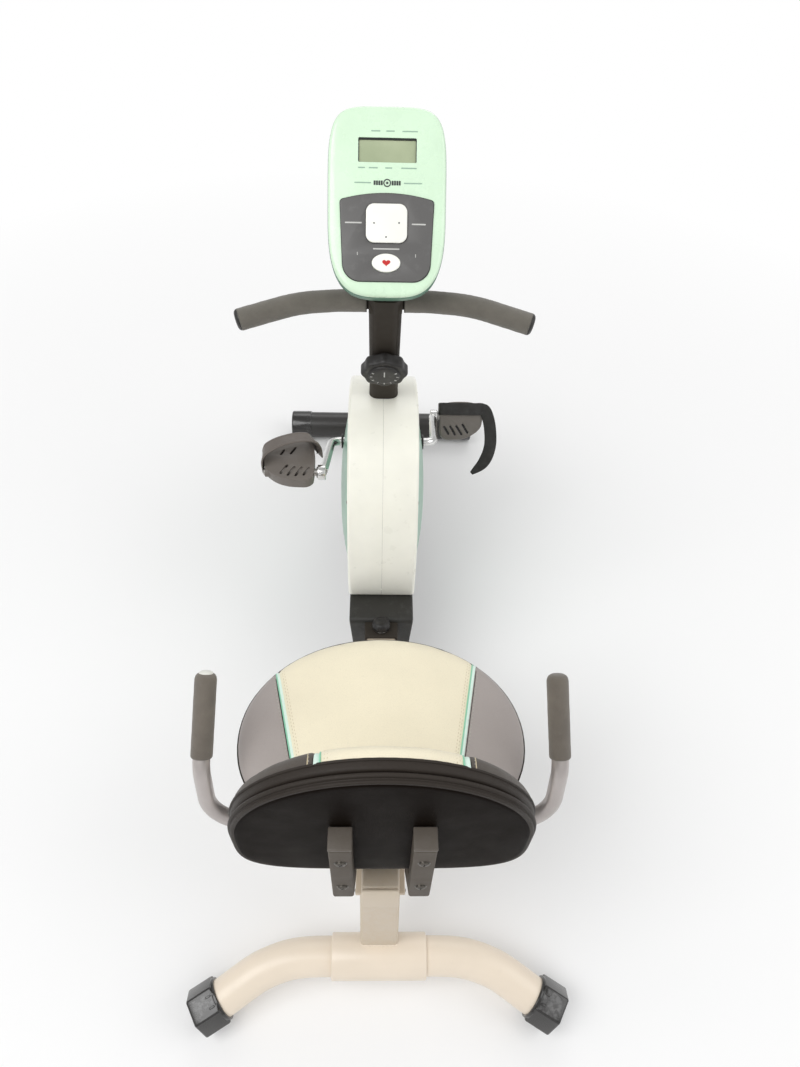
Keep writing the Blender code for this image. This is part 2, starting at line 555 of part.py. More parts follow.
# ------------------------------------------------------------------ pedals
mat_pedal = material("pedal_plastic", (0.055, 0.050, 0.047), 0.55)
mat_strap = material("strap_rubber", (0.02, 0.02, 0.02), 0.7)
PEDAL_TILT = {"left": math.radians(8.0), "right": math.radians(42.0)}   # toes up; the pedals hang freely
PEDAL_SHIFT = {"left": 0.0140, "right": -0.0120}                        # the spindle is off the middle of the deck
for side, sign, eye in (("left", -1, left_eye), ("right", 1, right_eye)):
    c = Vector((sign * PEDAL_X, eye.y, eye.z))
    turn = Matrix.Rotation(PEDAL_TILT[side], 4, 'X')
    m = Matrix.Translation(c) @ turn @ Matrix.Translation((0, PEDAL_SHIFT[side], 0))
    body = box("pedal_" + side, (PEDAL_W, PEDAL_L, PEDAL_T), m, (0, 0.004, 0), mat_pedal)
    soften(body, 0.006, 2)
    cut(body, rod("pedal_bore_" + side, 0.0070 + GAP, c - X * 0.06, c + X * 0.06, helper=True, segments=20))
    # slanted slots through the heel and lightening slots through the deck
    for k in range(4):
        x = (-0.031 + 0.0205 * k)
        slant = Matrix.Rotation(math.radians(25), 4, 'Y')
        cut(body, box("pedal_heel_slot_%s_%d" % (side, k), (0.0050, 0.016, 0.013), m @ Matrix.Translation((x, -0.048, 0.0)) @ slant, helper=True))
    for k in range(2):
        cut(body, box("pedal_deck_slot_%s_%d" % (side, k), (0.026, 0.010, 0.05), m, (-0.022 + 0.044 * k, -0.030, 0), helper=True))
        cut(body, box("pedal_toe_slot_%s_%d" % (side, k), (0.026, 0.014, 0.05), m, (-0.022 + 0.044 * k, 0.032, 0), helper=True))
    spindle = lathe("pedal_spindle_" + side, [(0.0, 0.0470), (0.0056, 0.0470), (0.0070, 0.0450), (0.0070, -0.0510), (0.0105, -0.0510), (0.0105, -0.0523),
                                             (0.0070, -0.0523), (0.0070, -0.0665), (0.0, -0.0665)],
                    c, (sign, 0, 0), mat_steel, steps=12)
    # arched band over the deck, with a tail that hangs outside the right pedal
    hw, up = PEDAL_W / 2 + 0.0004, PEDAL_T / 2
    base = [(-hw - 0.0026, -0.004), (-hw - 0.0022, up + 0.014), (-hw + 0.008, up + 0.036), (-0.020, up + 0.050), (0.020, up + 0.050),
            (hw - 0.008, up + 0.036), (hw + 0.0022, up + 0.014), (hw + 0.0026, -0.004)]
    inner = [(hw + 0.0002, -0.004), (hw - 0.0002, up + 0.013), (hw - 0.0100, up + 0.0340), (0.0190, up + 0.0474), (-0.0190, up + 0.0474),
             (-hw + 0.0100, up + 0.0340), (-hw + 0.0002, up + 0.013), (-hw - 0.0002, -0.004)]
    strap = plate("pedal_strap_" + side, [base + inner], 0.030, m @ frame(Vector((0, 0.0265 - min(0.0, PEDAL_SHIFT[side]), 0)), X, Vector((0, 0, 1)), Vector((0, -1, 0))), mat_strap)
    set_origin(body, c)
    set_origin(strap, c)

# ------------------------------------------------------------------ enclosure
mat_ivory = material("ivory_plastic", IVORY, 0.3)
mat_teal = material("teal_plastic", TEAL, 0.3)


def shroud_outline(inset, low, count=30):
    cy, cz = SHROUD_C
    pts = []
    low_ang = math.asin((low - cz) / (SHROUD_UP - inset)) if low > cz - SHROUD_UP else -math.pi / 2
    for k in range(count + 1):
        t = low_ang + (math.pi - 2 * low_ang) * k / count
        a = (SHROUD_FRONT if math.cos(t) >= 0 else SHROUD_REAR) - inset
        pts.append((cy + a * math.cos(t), cz + (SHROUD_UP - inset) * math.sin(t)))
    return pts


up_hole = box("upright_hole", (UP_W + 0.0016, UP_D + 0.0016, 0.30), UP_M, (0, 0, -0.26), helper=True)
for side, sign in (("left", -1), ("right", 1)):
    half = plate("shroud_" + side, [shroud_outline(0.0, SHROUD_BOTTOM, 28)], 2 * SHROUD_X, SIDE_M, mat_ivory)
    soften(half, 0.014, 2, 60)
    core = plate("shroud_core_" + side, [shroud_outline(WALL, SHROUD_BOTTOM - 0.03, 28)], 2 * (SHROUD_X - WALL), SIDE_M, helper=True)
    soften(core, 0.012, 1, 60)
    cut(half, core)
    if sign < 0:
        cut(half, box("seam_left", (0.2, 0.7, 0.7), FLAT_M, (SEAM_X - GAP + 0.1, 0.24, 0.35), helper=True))
    else:
        cut(half, box("seam_right", (0.2, 0.7, 0.7), FLAT_M, (SEAM_X + GAP - 0.1, 0.24, 0.35), helper=True))
    cut(half, up_hole)
    cut(half, rod("crank_hole_" + side, 0.0135, (sign * 0.045, CRANK_Y, CRANK_Z), (sign * 0.075, CRANK_Y, CRANK_Z), helper=True, segments=24))
    # domed cover, open around the crank
    dome = []
    for k in range(6):
        t = (0.0, 0.4, 0.65, 0.82, 0.94, 1.0)[k]
        dome.append((COVER_R * t, (COVER_X - SHROUD_X - GAP) * (1 - t ** 2.6)))
    outer = [(r, h) for r, h in dome[:-1]] + [(COVER_R, 0.0030), (COVER_R, 0.0)]
    inner = [(COVER_R - 0.0035, 0.0)] + [(r * 0.972, h - 0.0028) for r, h in reversed(dome[:-2])]
    cover = lathe("side_cover_" + side, outer + inner, (sign * (SHROUD_X + GAP), COVER_C[0], COVER_C[1]), (sign, 0, 0), mat_teal, steps=32)
    cut(cover, rod("cover_crank_hole_" + side, 0.0145, (sign * 0.05, CRANK_Y, CRANK_Z), (sign * 0.10, CRANK_Y, CRANK_Z), helper=True, segments=24))

mat_low = material("lower_charcoal", (0.030, 0.029, 0.026), 0.5)
low_top = SHROUD_BOTTOM - GAP
low_outline = rounded([(-0.068, low_top), (-0.068, 0.128), (-0.034, 0.100), (0.430, 0.094), (0.494, 0.150), (0.494, low_top)],
                      [0.010, 0.020, 0.04, 0.05, 0.05, 0.004])
lower = plate("lower_cover", [low_outline], 0.125, SIDE_M, mat_low)
soften(lower, 0.012, 2, 60)
low_core = plate("lower_core", [rounded([(-0.0645, low_top - 0.0030), (-0.0645, 0.130), (-0.0320, 0.1035), (0.428, 0.0975), (0.4905, 0.152), (0.4905, low_top - 0.0030)],
                                        [0.008, 0.018, 0.038, 0.048, 0.048, 0.003])], 0.118, SIDE_M, helper=True)
soften(low_core, 0.010, 1, 60)
cut(lower, low_core)
cut(lower, box("lower_mouth", (0.112, 0.475, 0.03), FLAT_M, (0, 0.2425, low_top), helper=True))
cut(lower, box("lower_sleeve_hole", (sleeve_w + 0.001, 0.20, sleeve_h + 0.001), RAIL_M, (0, rail_s(-0.12), 0), helper=True))
cut(lower, box("lower_tube_hole", (0.052, 0.20, 0.052), TUBE_M, (0, tube_len - 0.21, 0), helper=True))

# ------------------------------------------------------------------ upright, handlebar, knob
mat_up = material("upright_graphite", (0.075, 0.070, 0.066), 0.5)
upright = plate("upright", [rect(UP_W, UP_D, 0.016)], 0.413, UP_M, mat_up, at=-0.1635)
cut(upright, plate("upright_bore", [rect(UP_W - 0.006, UP_D - 0.006, 0.0005, steps=1)], 0.36, UP_M, helper=True, at=-0.22))
back_c = CON_C - CON_N * (0.045 + GAP)
neck = plate("neck", [rounded([(0.1310, 0.7900), (0.1850, 0.8080), (back_c.y + 0.052, back_c.z + 0.052), (back_c.y - 0.030, back_c.z - 0.030),
                               (0.1190, 0.8480)], [0, 0.02, 0, 0, 0.004])], 0.044, SIDE_M, helper=True)
weld(upright, neck)
clamp = rod("bar_clamp", 0.0200, (-0.026, 0.1400, 0.8200), (0.026, 0.1400, 0.8200), helper=True, segments=28)
weld(upright, clamp)
cut(upright, rod("bar_clamp_bore", BAR_R + GAP, (-0.05, 0.1400, 0.8200), (0.05, 0.1400, 0.8200), helper=True, segments=28))
knob_axis_at = UP_0 + UP_DIR * (-(UP_0.z - 0.690) / UP_DIR.z)
rear_n = -UP_FWD
face_at = knob_axis_at + rear_n * (UP_D / 2)
weld(upright, rod("knob_boss", 0.0230, face_at - rear_n * 0.002, face_at + rear_n * 0.006, helper=True, segments=28))
cut(upright, rod("knob_stem_hole", 0.0048, face_at - rear_n * 0.010, face_at + rear_n * 0.02, helper=True, segments=16))


def lobed(r, depth, lobes, count):
    return [((r - depth * (0.5 - 0.5 * math.cos(lobes * 2 * math.pi * k / count))) * math.cos(2 * math.pi * k / count),
             (r - depth * (0.5 - 0.5 * math.cos(lobes * 2 * math.pi * k / count))) * math.sin(2 * math.pi * k / count)) for k in range(count)]


KNOB_M = frame(face_at + rear_n * 0.0065, X, rear_n.cross(X), rear_n)
knob = plate("resistance_knob", [lobed(KNOB_R, 0.003, 8, 32)], 0.020, KNOB_M, material("tension_knob", (0.025, 0.025, 0.025), 0.45), at=0.010)
soften(knob, 0.003, 1, 60)
weld(knob, rod("knob_cap", 0.0270, face_at + rear_n * 0.015, face_at + rear_n * 0.0300, helper=True, segments=20),
     rod("knob_stem", 0.0045, face_at - rear_n * 0.012, face_at + rear_n * 0.010, helper=True, segments=16))
set_origin(knob, face_at)

bar_pts = smooth_path([(-BAR_HALF, 0.110, 0.803), (-0.135, 0.1360, 0.8170), (-0.070, 0.1400, 0.8200), (0.070, 0.1400, 0.8200),
                       (0.135, 0.1360, 0.8170), (BAR_HALF, 0.110, 0.803)], [0.25, 0.25, 0.25, 0.25], 3)
mat_bar = material("handlebar_steel", (0.10, 0.095, 0.09), 0.35, 0.3)
tube("handlebar", bar_pts, BAR_R, mat_bar, res=2)
mat_foam = material("grip_foam", FOAM, 0.85)
for side, sign in (("left", -1), ("right", 1)):
    pts = [Vector((abs(p.x) * sign, p.y, p.z)) for p in bar_pts if p.x > 0.02]
    start = Vector((sign * 0.0290, 0.1400, 0.8200))
    path = [start] + [p for p in pts if abs(p.x) > 0.035]
    d = (path[-1] - path[-2]).normalized()
    foam = tube("handlebar_grip_" + side, path, FOAM_R, mat_foam, res=3)
    inner = [Vector((sign * 0.010, 0.1400, 0.8200))] + path[1:-1] + [path[-1] + d * 0.02]
    cut(foam, tube("bar_grip_bore_" + side, inner, BAR_R + GAP + 0.0006, helper=True, res=2))
    plug = rod("handlebar_plug_" + side, FOAM_R - 0.0004, path[-1] + d * GAP, path[-1] + d * 0.0060, material("plug_" + side, BLACK, 0.35), segments=16)
    soften(plug, 0.0022, 1, 60)

# cable from the knob down to the brake arm
cable_in = UP_0 + UP_DIR * -0.262 + X * -0.010
cable_out = UP_0 + UP_DIR * -0.300 + UP_FWD * 0.042 + X * -0.014
cable_pts = smooth_path([knob_axis_at + rear_n * 0.008 + UP_DIR * -0.012, cable_in, cable_out,
                         Vector((-0.0200, 0.345, 0.470)), Vector((-0.0200, 0.400, 0.372)), Vector((-0.0200, 0.398, 0.3455))],
                        [0.015, 0.015, 0.03, 0.03], 3)
cable_dir = (cable_out - cable_in).normalized()
cut(upright, rod("cable_hole", 0.0030, cable_in + cable_dir * 0.012, cable_out + cable_dir * 0.01, helper=True, segments=12))

# ------------------------------------------------------------------ console
mat_con_back = material("console_teal", TEAL, 0.3)
mat_con_face = material("console_mint", MINT, 0.25)


def console_outline(scale=0.0, count=32):
    return superellipse(CON_W / 2 - scale, CON_H / 2 - scale, CON_H / 2 - scale, 5.0, 3.4, count, (0, -0.003))


back = plate("console_back", [console_outline(0.0)], 0.0347, CON_M, mat_con_back, at=-0.02765)
soften(back, 0.010, 2, 60)
cut(back, plate("console_cavity", [console_outline(0.0035)], 0.0430, CON_M, helper=True, at=-0.0205))
LCD_C, LCD_W, LCD_H = (0.0, 0.0686), 0.0835, 0.0340
face = plate("console_face", [console_outline(0.0015)], 0.0100, CON_M, mat_con_face, at=-0.0050)
soften(face, 0.0035, 1, 60)
cut(face, box("lcd_opening", (LCD_W + 2 * GAP, LCD_H + 2 * GAP, 0.03), CON_M, (LCD_C[0], LCD_C[1], 0), helper=True))
box("lcd_window", (LCD_W, LCD_H, 0.0030), CON_M, (LCD_C[0], LCD_C[1], -0.0028), material("lcd_glass", (0.43, 0.50, 0.30), 0.15))
PAD_C, PAD_W, PAD_H = (-0.0003, -0.0336), 0.0595, 0.0545
OVAL_C = (-0.0004, -0.0888)
arch_top = [(0.0673 - 0.0168 * k, 0.0083 - 0.0098 * ((0.0673 - 0.0168 * k) / 0.0673) ** 2) for k in range(1, 8)]
panel_outline = rounded([(0.0673, -0.0015)] + arch_top + [(-0.0673, -0.0015), (-0.0622, -0.1144), (0.0622, -0.1144)], [0.005] + [0] * 7 + [0.005, 0.026, 0.026], 5)
panel = plate("keypad_panel", [panel_outline, rect(PAD_W + 0.0008, PAD_H + 0.0008, 0.0120, PAD_C), superellipse(0.0206 + 0.0003, 0.0130 + 0.0006, 0.0136, 2, 2, 20, OVAL_C)],
              0.0025, CON_M, material("keypad_grey", (0.12, 0.12, 0.12), 0.5), at=0.00155)
pad = plate("button_pad", [rect(PAD_W, PAD_H, 0.0118, PAD_C)], 0.0040, CON_M, material("button_white", (0.88, 0.88, 0.86), 0.35), at=0.0036)
soften(pad, 0.0010, 1, 60)
sensor = plate("pulse_sensor", [superellipse(0.0206, 0.0130, 0.0130, 2, 2, 20, OVAL_C)], 0.0040, CON_M, material("sensor_white", (0.90, 0.89, 0.87), 0.3), at=0.0024)
soften(sensor, 0.0010, 1, 60)
box("console_board", (0.1100, 0.1750, 0.0016), CON_M, (0, -0.002, -0.0180), material("board_green", (0.04, 0.20, 0.08), 0.5))

# ------------------------------------------------------------------ seat carriage, board, cushion
mat_carriage = material("carriage_graphite", (0.07, 0.065, 0.06), 0.5)
c0, c1 = rail_s(-0.530), rail_s(-0.276)
in_x, in_z = RAIL_W / 2 + 0.0005, RAIL_H / 2 + 0.0005
carriage = box("seat_carriage", (2 * (in_x + 0.0040), c1 - c0, in_z + 0.0035 + RAIL_H / 2 - 0.001), RAIL_M,
               (0, (c0 + c1) / 2, (in_z + 0.0035 - RAIL_H / 2 + 0.001) / 2), mat_carriage)
soften(carriage, 0.002, 2)
board_low = 0.3850
for sign in (-1, 1):
    weld(carriage, plate("carriage_cheek_%d" % sign, [[(-0.484, 0.318), (-0.278, 0.262), (-0.278, board_low - GAP), (-0.484, board_low - GAP)]], 0.0034, SIDE_M, helper=True, at=sign * (in_x + 0.0020)))
for y, low in ((-0.2900, 0.278), (-0.4700, 0.319)):
    weld(carriage, box("carriage_web_%d" % (-1000 * y), (0.0590, 0.0080, board_low - GAP - 0.0004 - low), FLAT_M, (0, y, (board_low - GAP - 0.0004 + low) / 2), helper=True))
weld(carriage, box("carriage_cradle", (0.0550, 0.0340, 0.045), FLAT_M, (0, -0.5060, 0.3445), helper=True))
cut(carriage, rod("cradle_groove", HANDLE_R + GAP, (-0.1, -0.505, 0.3660), (0.1, -0.505, 0.3660), helper=True, segments=28))
cut(carriage, box("cradle_open", (0.10, 0.050, 0.030), FLAT_M, (0, -0.505, 0.3830), helper=True))
cut(carriage, box("carriage_bore", (2 * in_x, 0.6, 0.10), RAIL_M, (0, (c0 + c1) / 2, in_z - 0.05), helper=True))
LOCK_Y = -0.330
lock_at = rail_point(LOCK_Y)
cut(carriage, rod("lock_hole", 0.0048, lock_at + X * 0.0270, lock_at + X * 0.05, helper=True, segments=16))
lock = lathe("seat_lock_knob", [(0.0, 0.0640), (0.0130, 0.0635), (0.0170, 0.0600), (0.0180, 0.0500), (0.0160, 0.0420), (0.0090, 0.0390),
                                (0.0080, 0.0330), (0.0045, 0.0330), (0.0045, RAIL_W / 2 + GAP), (0.0, RAIL_W / 2 + GAP)],
             lock_at, (1, 0, 0), mat_knob, steps=16)

mat_board = material("seat_base", (0.02, 0.02, 0.02), 0.6)
board = plate("seat_board", [superellipse(SEAT_A - 0.012, SEAT_B - 0.010, SEAT_B - 0.010, 2.0, 2.2, 28, SEAT_C)], 0.0100, FLAT_M, mat_board, at=0.3900)
soften(board, 0.003, 1, 60)
cushion = plate("seat_cushion", [superellipse(SEAT_A, SEAT_B, SEAT_B, 2.0, 2.15, 36, SEAT_C)], SEAT_TOP - SEAT_LOW, FLAT_M, material("seat_vinyl", (0.80, 0.74, 0.60), 0.5), at=(SEAT_TOP + SEAT_LOW) / 2)
soften(cushion, 0.018, 2, 60)

# ------------------------------------------------------------------ backrest
BACK_M = frame(Vector((0, 0, 0)), X, Vector((0, 0, 1)), Vector((0, -1, 0)))


def back_outline(inset=0.0, count=36):
    return superellipse(BACK_W / 2 - inset, BACK_UP - inset, BACK_DOWN - inset, 2.0, 4.0, count, (0, BACK_MID))


shell_back = plate("backrest_board", [back_outline(0.0)], 0.0150, BACK_M, material("backrest_shell", (0.022, 0.018, 0.015), 0.55), at=-BACK_REAR - 0.0075)
soften(shell_back, 0.005, 1, 60)
pad_back = plate("backrest_cushion", [back_outline(0.0005)], 0.0410, BACK_M, material("backrest_vinyl", (0.80, 0.74, 0.60), 0.5), at=-BACK_REAR - 0.0153 - 0.0205)
soften(pad_back, 0.012, 2, 60)

mat_back_tube = material("backrest_tube", (0.085, 0.078, 0.072), 0.5)
rear = BACK_REAR - GAP
outline = rounded([(rear - TUBE, 0.6493), (rear - TUBE, 0.4770), (-0.5780, 0.3545), (-0.5320, 0.3545), (-0.5320, 0.3815), (-0.5615, 0.3815),
                   (rear, 0.4835), (rear, 0.6493)], [0, 0.014, 0.012, 0, 0, 0.006, 0.008, 0])
legs = plate("backrest_frame", [outline], TUBE, SIDE_M, mat_back_tube, at=-LEG_X)
soften(legs, 0.002, 1, 60)
other_leg = plate("backrest_leg_right", [outline], TUBE, SIDE_M, helper=True, at=LEG_X)
soften(other_leg, 0.002, 1, 60)
weld(legs, other_leg, box("backrest_tie", (2 * LEG_X, 0.036, 0.0105), FLAT_M, (0, -0.5530, 0.3600), helper=True))
mat_cap = material("tube_cap", (0.05, 0.047, 0.044), 0.45)
for side, sign in (("left", -1), ("right", 1)):
    cap = box("backrest_plug_" + side, (TUBE + 0.0006, TUBE, 0.0045), FLAT_M, (sign * LEG_X, rear - TUBE / 2, 0.6493 + GAP + 0.00225), mat_cap)
    soften(cap, 0.0015, 1)

# ------------------------------------------------------------------ seat handle and grips
grip_low, grip_top = Vector((HANDLE_X, -0.4650, 0.4900)), Vector((HANDLE_X, -0.3780, 0.5720))
grip_dir = (grip_top - grip_low).normalized()
tube_end = grip_top - grip_dir * 0.006
elbow = grip_low - grip_dir * 0.0125
half_path = [(HANDLE_X, tube_end.y, tube_end.z), (HANDLE_X, elbow.y, elbow.z), (HANDLE_X, -0.5050, 0.3660), (0.0, -0.5050, 0.3660)]
right_path = smooth_path(half_path, [0.055, 0.058], 5)[:-1]
left_path = [Vector((-p.x, p.y, p.z)) for p in right_path]
mat_handle = material("handle_silver", (0.52, 0.48, 0.46), 0.35, 0.6)
tube("seat_handle", left_path + right_path[::-1], HANDLE_R, mat_handle, res=3)
grip_len = (grip_top - grip_low).length
for side, sign in (("left", -1), ("right", 1)):
    base = Vector((sign * HANDLE_X, grip_low.y, grip_low.z)) + grip_dir * 0.004
    lathe("seat_grip_" + side, [(0.0, grip_len), (0.0090, grip_len - 0.0005), (0.0140, grip_len - 0.0035), (GRIP_R, grip_len - 0.0090), (GRIP_R, 0.0020), (0.0150, 0.0),
                                (HANDLE_R + 2 * GAP, 0.0), (HANDLE_R + 2 * GAP, grip_len - 0.0090), (0.0, grip_len - 0.0090)],
          base, grip_dir, mat_foam, steps=16)
tube("resistance_cable", cable_pts, 0.0015, material("cable_sheath", (0.02, 0.02, 0.02), 0.6), res=1)
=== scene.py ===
"""Looks of a recumbent exercise bike, built around its CAD frame.

Metres, +Z up, +Y towards the front stabiliser, +X to the rider's right. The floor is z = 0
and x = 0 is the middle of the bike. Every piece is modelled where it stands.
"""

import functools
from math import (acos, asin, atan2, ceil, copysign, cos, exp, hypot, pi, radians, sin, sqrt,
                  tan, tanh)

import bmesh
import bpy
import numpy as np
from mathutils import Matrix, Vector, noise

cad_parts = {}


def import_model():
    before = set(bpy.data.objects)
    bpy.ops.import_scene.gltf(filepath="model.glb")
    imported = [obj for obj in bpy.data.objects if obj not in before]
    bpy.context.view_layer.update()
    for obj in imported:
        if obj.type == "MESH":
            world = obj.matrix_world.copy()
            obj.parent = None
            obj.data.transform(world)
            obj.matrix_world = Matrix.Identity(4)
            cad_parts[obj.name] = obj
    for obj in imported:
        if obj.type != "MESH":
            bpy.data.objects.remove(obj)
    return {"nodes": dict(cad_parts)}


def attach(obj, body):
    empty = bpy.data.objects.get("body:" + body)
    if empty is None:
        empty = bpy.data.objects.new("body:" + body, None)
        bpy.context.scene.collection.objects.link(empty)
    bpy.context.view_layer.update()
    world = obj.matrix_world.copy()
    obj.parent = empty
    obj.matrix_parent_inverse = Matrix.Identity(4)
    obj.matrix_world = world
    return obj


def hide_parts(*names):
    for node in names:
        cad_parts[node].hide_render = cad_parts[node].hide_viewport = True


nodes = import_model()["nodes"]
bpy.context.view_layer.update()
scene = bpy.context.scene
scrap = []          # boolean operands, removed at the end
MATERIALS = {}      # Material by name

# ------------------------------------------------------------------ driving dimensions
# Names ending in _YZ are (y, z) places of axes that run along X.
GAP = 0.0003        # clearance between neighbouring pieces
SIDES = (("left", -1), ("right", 1))
CORNERS = ((-1, -1), (1, -1), (-1, 1), (1, 1))

REAR_YZ = (-0.625, 0.070)
REAR_TUBE_R = 0.031
REAR_END = (0.283, -0.6952, 0.0368)
FRONT_YZ = (0.693, 0.036)
FRONT_TUBE_R, FRONT_HALF = 0.034, 0.2405
WHEEL_R, WHEEL_W = 0.022, 0.013
WHEEL_X, WHEEL_YZ = 0.223, (0.708, 0.0255)

RAIL_TILT = radians(13.0)
RAIL_START = Vector((0.0, -0.549, 0.312))
RAIL_W, RAIL_H = 0.055, 0.045
LEG_W, LEG_D = 0.0617, 0.040

CRANK_YZ = (0.255, 0.404)
CRANK_ARM, CRANK_ROD_R, EYE_X = 0.165, 0.0085, 0.1110
CRANK_REST = radians(23.9)
PEDAL_X, PEDAL_W, PEDAL_T = 0.1735, 0.0930, 0.024
SPINDLE_R = 0.0070

SHROUD_YZ = (0.235, 0.300)
SHROUD_REAR, SHROUD_FRONT, SHROUD_UP = 0.250, 0.270, 0.275     # half axes of its outline
SHROUD_X, SHROUD_BOTTOM, WALL = 0.065, 0.235, 0.003
COVER_YZ = (0.215, 0.315)
COVER_R, COVER_X = 0.165, 0.084

UPRIGHT_TILT = radians(20.2)
UPRIGHT_TOP = Vector((0.0, 0.150, 0.808))
UPRIGHT_W, UPRIGHT_D = 0.052, 0.056
BAR_YZ = (0.1400, 0.8200)
BAR_R, FOAM_R, BAR_HALF = 0.0125, 0.0170, 0.2245
KNOB_R = 0.040

CONSOLE_CENTRE = Vector((0.0, 0.171, 0.969))
CONSOLE_TILT = radians(45.0)
CONSOLE_W, CONSOLE_H, CONSOLE_DEPTH = 0.1716, 0.267, 0.045

SEAT_XY = (0.0, -0.410)
SEAT_A, SEAT_B, SEAT_LOW = 0.212, 0.160, 0.3953
BACK_W, BACK_MID, BACK_UP, BACK_DOWN, BACK_REAR = 0.364, 0.600, 0.172, 0.115, -0.615
BACK_TUBE_X, TUBE = 0.048, 0.027
HANDLE_X, HANDLE_R = 0.2507, 0.0122

# ------------------------------------------------------------------ local axes
X = Vector((1, 0, 0))
RAIL_DIR = Vector((0, cos(RAIL_TILT), -sin(RAIL_TILT)))
RAIL_UP = Vector((0, sin(RAIL_TILT), cos(RAIL_TILT)))
UPRIGHT_DIR = Vector((0, -sin(UPRIGHT_TILT), cos(UPRIGHT_TILT)))
UPRIGHT_FORWARD = Vector((0, cos(UPRIGHT_TILT), sin(UPRIGHT_TILT)))
CONSOLE_UP = Vector((0, sin(CONSOLE_TILT), cos(CONSOLE_TILT)))
CONSOLE_OUT = Vector((0, -cos(CONSOLE_TILT), sin(CONSOLE_TILT)))


def axes(origin, x_axis, y_axis, z_axis):
    """Matrix of a local frame from its origin and its three unit axes."""
    matrix = Matrix((x_axis, y_axis, z_axis)).transposed().to_4x4()
    matrix.translation = origin
    return matrix


RAIL_AXES = axes(RAIL_START, X, RAIL_DIR, RAIL_UP)
UPRIGHT_AXES = axes(UPRIGHT_TOP, X, UPRIGHT_FORWARD, UPRIGHT_DIR)
CONSOLE_AXES = axes(CONSOLE_CENTRE, X, CONSOLE_UP, CONSOLE_OUT)
SIDE_AXES = axes((0, 0, 0), (0, 1, 0), (0, 0, 1), X)    # outlines in (y, z), thickness on X
WORLD_AXES = Matrix.Identity(4)


def facing(origin, direction):
    """Matrix with its local Z along a direction."""
    turn = Vector(direction).to_track_quat('Z', 'Y').to_matrix().to_4x4()
    return Matrix.Translation(Vector(origin)) @ turn


def on_side(point, sign):
    """A point or direction given for the right side, mirrored when sign is -1."""
    return Vector((point[0] * sign, point[1], point[2]))


def clamp01(value):
    return max(0.0, min(1.0, value))


def rail_distance(y):
    """Distance along the rail at which it reaches a given y."""
    return (y - RAIL_START.y) / RAIL_DIR.y


def rail_point(y):
    return RAIL_START + RAIL_DIR * rail_distance(y)


# ------------------------------------------------------------------ material building blocks
def linear(rgb):
    """8-bit sRGB to linear."""
    return tuple((c / 255 / 12.92) if c / 255 <= 0.04045 else ((c / 255 + 0.055) / 1.055) ** 2.4
                 for c in rgb)


def shade(rgb, factor):
    return tuple(clamp01(c * factor) for c in rgb)


def wash(rgb, keep, add):
    """Paler, duller version of a colour."""
    return tuple(keep * c + add for c in rgb)


def rgba(colour):
    return colour if isinstance(colour, bpy.types.NodeSocket) else (*colour, 1.0)


class Material:
    """A Principled material put together from procedural nodes, in object metres."""

    def __init__(self, name, slot=None):
        self.data = bpy.data.materials.new(name)
        self.data.use_nodes = True
        self.tree = self.data.node_tree
        self.surface = self.tree.nodes["Principled BSDF"]
        self.place = self.tree.nodes.new("ShaderNodeTexCoord").outputs["Object"]
        self.slot = slot
        MATERIALS[name] = self

    def feed(self, socket, value):
        if isinstance(value, bpy.types.NodeSocket):
            self.tree.links.new(value, socket)
        else:
            socket.default_value = value

    def add(self, kind, inputs, **properties):
        node = self.tree.nodes.new("ShaderNode" + kind)
        for key, value in properties.items():
            setattr(node, key, value)
        for key, value in inputs.items():
            self.feed(node.inputs[key], value)
        return node

    def set(self, **values):
        for key, value in values.items():
            self.feed(self.surface.inputs[key.replace("_", " ")], value)

    def noise(self, scale, detail=2.0, rough=0.5, stretch=None):
        place = self.place
        if stretch:
            place = self.add("Mapping", {"Vector": place, "Scale": stretch}).outputs[0]
        return self.add("TexNoise", {"Vector": place, "Scale": scale, "Detail": detail,
                                     "Roughness": rough}).outputs[0]

    def cells(self, scale, place=None, feature='F1'):
        return self.add("TexVoronoi", {"Vector": place or self.place, "Scale": scale},
                        feature=feature).outputs["Distance"]

    def span(self, value, over, to=(0.0, 1.0)):
        """Maps the range `over` onto the range `to`."""
        return self.add("MapRange", {"Value": value, "From Min": over[0], "From Max": over[1],
                                     "To Min": to[0], "To Max": to[1]}).outputs[0]

    def patches(self, over=(0.3, 0.7), to=(0.0, 1.0), **pattern):
        return self.span(self.noise(**pattern), over, to)

    def times(self, first, second):
        return self.add("Math", {0: first, 1: second}, operation='MULTIPLY').outputs[0]

    def blend(self, share, first, second):
        """Colour mix; 6 and 7 are the node's two colour inputs."""
        return self.add("Mix", {0: share, 6: rgba(first), 7: rgba(second)},
                        data_type='RGBA').outputs[2]

    def mottle(self, rgb, shades, **pattern):
        """Patches between two shades of a colour."""
        return self.blend(self.patches(**pattern), shade(rgb, shades[0]), shade(rgb, shades[1]))

    def mark(self, base, colour, **pattern):
        """Patches of a colour over the base."""
        return self.blend(self.patches(**pattern), base, colour)

    def worn_edges(self, base, colour, edge, **pattern):
        pointiness = self.tree.nodes.new("ShaderNodeNewGeometry").outputs["Pointiness"]
        worn = self.times(self.span(pointiness, edge), self.patches(**pattern))
        return self.blend(worn, base, colour)

    def bump(self, height, strength, distance, under=None):
        inputs = {"Height": height, "Strength": strength, "Distance": distance}
        if under is not None:
            inputs["Normal"] = under
        return self.add("Bump", inputs).outputs[0]


